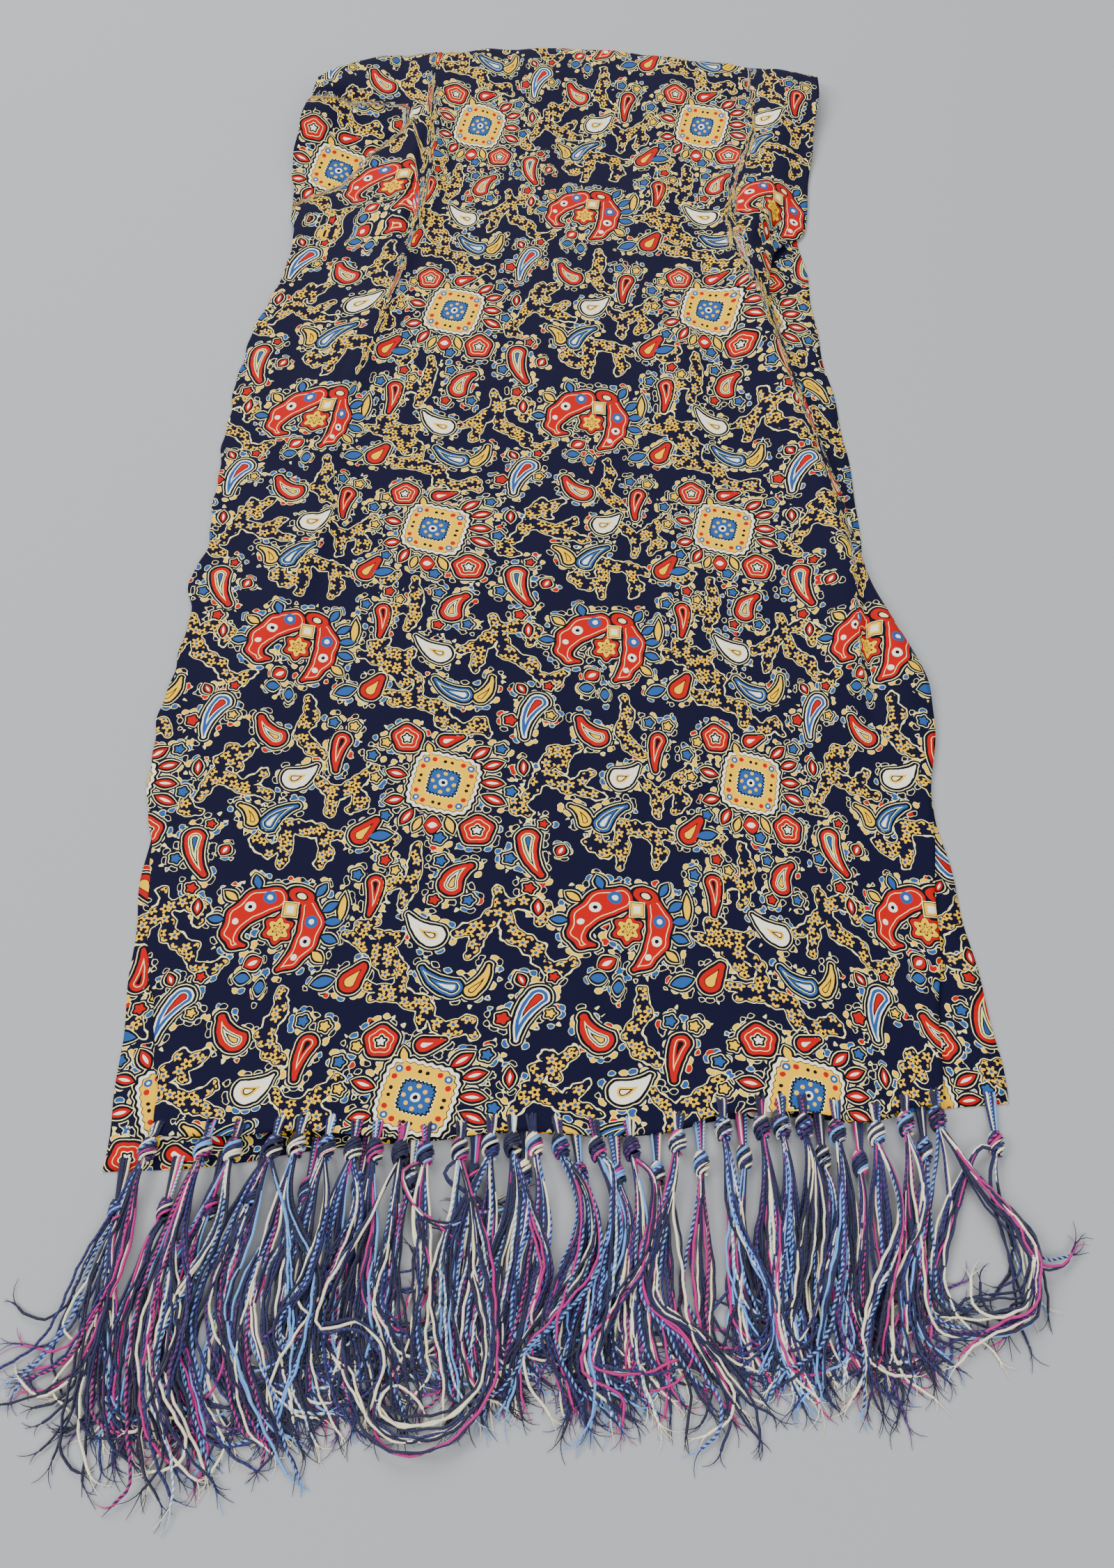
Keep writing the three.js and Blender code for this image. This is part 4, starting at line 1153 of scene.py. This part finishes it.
def loopYarns(bundle, dice, x, slant, layer, hemY):
    # Short legs from the knot up onto the hem, where they pass through the cloth
    middle = (legs["count"] - 1) / 2
    for k in range(legs["count"]):
        lane = (k - middle) / 2
        foot = x + lane * legs["apart"] + dice.uniform(-legs["jitter"], legs["jitter"])
        steps = legs[layer]
        if layer == "upper":
            reach = dice.uniform(*legs["reach"])
            steps = steps + [(legs["lastStep"] - reach, 0.9), (-reach, 1)]
        spots = []
        for down, share in steps:
            spot = x + slant * down + (foot - x) * share + lane * legs["side"] * (1 - share)
            y = hemY - down
            if layer == "under":
                high = legs["underHeight"] + max(down, 0) * legs["underSlope"]
            elif down < 0.5:
                high = clothTop(spot, y) + legs["overCloth"]
            else:
                high = legs["atKnot"]
            if share == 1:
                high = max(high - legs["dip"], legs["lowest"])
            spots.append((spot, y, high))
        line, at = curveThrough(spots, legs["step"])
        bundle.append((line, at * legs["twist"], yarn["radius"] * legs["thick"], choosePair(dice)))


def yarnTree():
    # Round tubes along a mesh's lines, as thick as it says, that keep the way round in "around"
    tree = bpy.data.node_groups.new("yarn_tubes", "GeometryNodeTree")
    for name, kind in [("Geometry", "Geometry"), ("Sides", "Int"), ("Material", "Material")]:
        tree.interface.new_socket(name=name, in_out="INPUT", socket_type="NodeSocket" + kind)
    tree.interface.new_socket(name="Geometry", in_out="OUTPUT", socket_type="NodeSocketGeometry")
    entry, leave = tree.nodes.new("NodeGroupInput"), tree.nodes.new("NodeGroupOutput")
    lines, sides, material = [Wire(tree, socket) for socket in list(entry.outputs)[:3]]

    def add(kind, inputs, **settings):
        return lines.node("GeometryNode" + kind, inputs, **settings)

    turn = add("InputIndex", {}) / sides * (2 * math.pi)
    around = turn.node("ShaderNodeCombineXYZ", {0: turn.math("COSINE"), 1: turn.math("SINE")})
    circle = add("CurvePrimitiveCircle", {"Resolution": sides, "Radius": 1.0}, mode="RADIUS")
    inputs = {"Geometry": circle, "Name": "around", "Value": around}
    profile = add("StoreNamedAttribute", inputs, data_type="FLOAT_VECTOR", domain="POINT")
    thickness = add("InputNamedAttribute", {"Name": "thickness"}, key="Attribute", data_type="FLOAT")
    inputs = {"Curve": add("MeshToCurve", {0: lines}), "Profile Curve": profile, "Fill Caps": True}
    tubes = add("CurveToMesh", {**inputs, "Scale": thickness})
    real = add("RealizeInstances", {0: add("SetShadeSmooth", {"Geometry": tubes})})
    painted = add("SetMaterial", {"Geometry": real, "Material": material})
    tree.links.new(painted.socket, leave.inputs[0])
    return tree


def makeTubes(name, bundle, material):
    # A bundle has a row for each yarn: its points, how far along they lie, its radius and its two plies
    places, runs, radii, plies = zip(*bundle)
    starts = np.cumsum([0] + [len(line) for line in places])
    lines = [(k, k + 1) for start, end in zip(starts, starts[1:]) for k in range(start, end - 1)]
    mesh = bpy.data.meshes.new(name)
    mesh.from_pydata((np.concatenate(places) * mm).tolist(), lines, [])
    thickness = np.concatenate([np.broadcast_to(radius, len(line)) for line, radius in zip(places, radii)])
    for label, values in [("thickness", thickness * mm), ("run", np.concatenate(runs))]:
        mesh.attributes.new(label, "FLOAT", "POINT").data.foreach_set("value", values)
    for k, label in enumerate(("plyA", "plyB")):
        inks = [np.tile(yarnInk[pair[k]][:3], len(line)) for line, pair in zip(places, plies)]
        attribute = mesh.attributes.new(label, "FLOAT_VECTOR", "POINT")
        attribute.data.foreach_set("vector", np.concatenate(inks))
    made = placed(name, mesh)
    modifier = made.modifiers.new("tubes", "NODES")
    modifier.node_group = yarnTree()
    values = {"Sides": yarn["sides"], "Material": material}
    for item in modifier.node_group.interface.items_tree:
        if item.name in values:
            modifier[item.identifier] = values[item.name]
    graph = bpy.context.evaluated_depsgraph_get()
    evaluated = made.evaluated_get(graph)
    solid = bpy.data.meshes.new_from_object(evaluated, preserve_all_data_layers=True, depsgraph=graph)
    made.modifiers.clear()
    made.data = solid
    print(name, "triangles", sum(len(p.vertices) - 2 for p in solid.polygons))
    return made


def yarnMaterial():
    material, tree, surface = newMaterial("rayon_yarn", yarnLook)

    def read(name, output):
        made = tree.nodes.new("ShaderNodeAttribute")
        made.attribute_name = name
        return Wire(tree, made.outputs[output])

    around, run = read("around", 1), read("run", 2)
    angle = run * yarn["plyTwist"]
    facing = around.dot(angle.node("ShaderNodeCombineXYZ", {0: angle.math("COSINE"), 1: angle.math("SINE")}))
    tone = mixed(facing.math("MULTIPLY_ADD", yarn["plyBlend"], 0.5).held(), read("plyA", 0), read("plyB", 0))
    tree.links.new(tone.socket, surface.inputs["Base Color"])
    bump = facing.node("ShaderNodeBump", {**yarnBump, "Height": abs(facing)})
    tree.links.new(bump.socket, surface.inputs["Normal"])
    return material


def makeTassel(bundle, knots, number, layer):
    sizes = fringeLayers[layer]
    dice = random.Random(number + sizes["seed"])
    hem, at30, at65, tip, run = sizes["rows"][number - 1]
    hemY = hemLine(hem, sizes["hemColumn"])
    shape, low = plainLocks, sizes["down"][1]
    slant = (at30 - hem) / 30 * shape["slant"]
    start = (hem + slant * low, hemY - low + shape["startAbove"])
    left = sizes["yarns"]
    for owner, count, spread, bends in sizes["locks"]:
        if owner == number:
            left -= count
            lift = sizes["lift"] + dice.uniform(shape["leastLift"], sizes["ownLift"])
            hangYarns(bundle, dice, start, bends, count, spread, lift, hemY, sizes["height"])
    plain = [(at30, 30), (at65, 65), (tip, run)]
    for count in (left - left // 2, left // 2):
        if count < 1:
            continue
        shift = dice.uniform(-shape["shift"], shape["shift"])
        bends = [
            (x + shift * share + dice.uniform(-shape["jitter"], shape["jitter"]),
             down * dice.uniform(shape["shorter"], 1.0))
            for (x, down), share in zip(plain, shape["shares"])
        ]
        lift = sizes["lift"] * dice.uniform(0, 1) + dice.uniform(0, shape["lift"])
        hangYarns(bundle, dice, start, bends, count, shape["spread"], lift, hemY, sizes["height"])
    tieKnot(knots, dice, hem, slant, layer, hemY)
    loopYarns(knots, dice, hem, slant, layer, hemY)


def makeFringe():
    material = yarnMaterial()
    pieces = []
    groups = [
        ("fringe_upper_left", "upper", range(1, 9)), ("fringe_upper_middle", "upper", range(9, 16)),
        ("fringe_upper_right", "upper", range(16, 27)), ("fringe_under", "under", range(1, 19)),
    ]
    knots = []
    for name, layer, numbers in groups:
        bundle = []
        for number in numbers:
            makeTassel(bundle, knots, number, layer)
        made = makeTubes(name, bundle, material)
        for number in numbers:
            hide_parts("%s_tassel_%02d" % (layer, number))
        pieces.append(made)
    pieces.append(makeTubes("fringe_knots", knots, material))
    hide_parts("upper_tassel_01")
    for made in pieces:
        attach(made, "root")
    return {"upper": pieces[:3] + pieces[4:], "under": [pieces[3]]}


def area(made):
    return sum(p.area for p in made.data.polygons)


makeCamera()
for entry in lamps:
    makeLamp(entry)
half = studio["floorHalf"]
corners = [(-half, -half, 0), (half, -half, 0), (half, half, 0), (-half, half, 0)]
floor = meshObject("surface", corners, [(0, 1, 2, 3)], False)
floor.data.materials.append(newMaterial("pale_surface", floorLook)[0])
world = bpy.data.worlds.new("studio")
bpy.context.scene.world = world
world.use_nodes = True
world.node_tree.nodes["Background"].inputs[0].default_value = studio["air"]
world.node_tree.nodes["Background"].inputs[1].default_value = studio["glow"]
print("stage made")

started = time.time()
crepe = clothMaterial()
print("print made in", round(time.time() - started, 1), "s")
upperSpots, upperFabric = upperSurface()
upperCloth = clothShell("upper_cloth", upperSpots, printPlace(upperFabric), cloth["thick"])
underSpots, underFabric = underSurface()
underCloth = clothShell("under_cloth", underSpots, printPlace(underFabric, **underPrint), cloth["thick"])
for made, node in [(upperCloth, "upper_leaf"), (underCloth, "under_leaf")]:
    made.data.materials.append(crepe)
    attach(made, "root")
    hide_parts(node)
print("cloth made: areas", round(area(upperCloth) / 2, 4), round(area(underCloth) / 2, 4))

fringe = makeFringe()
print("fringe made")
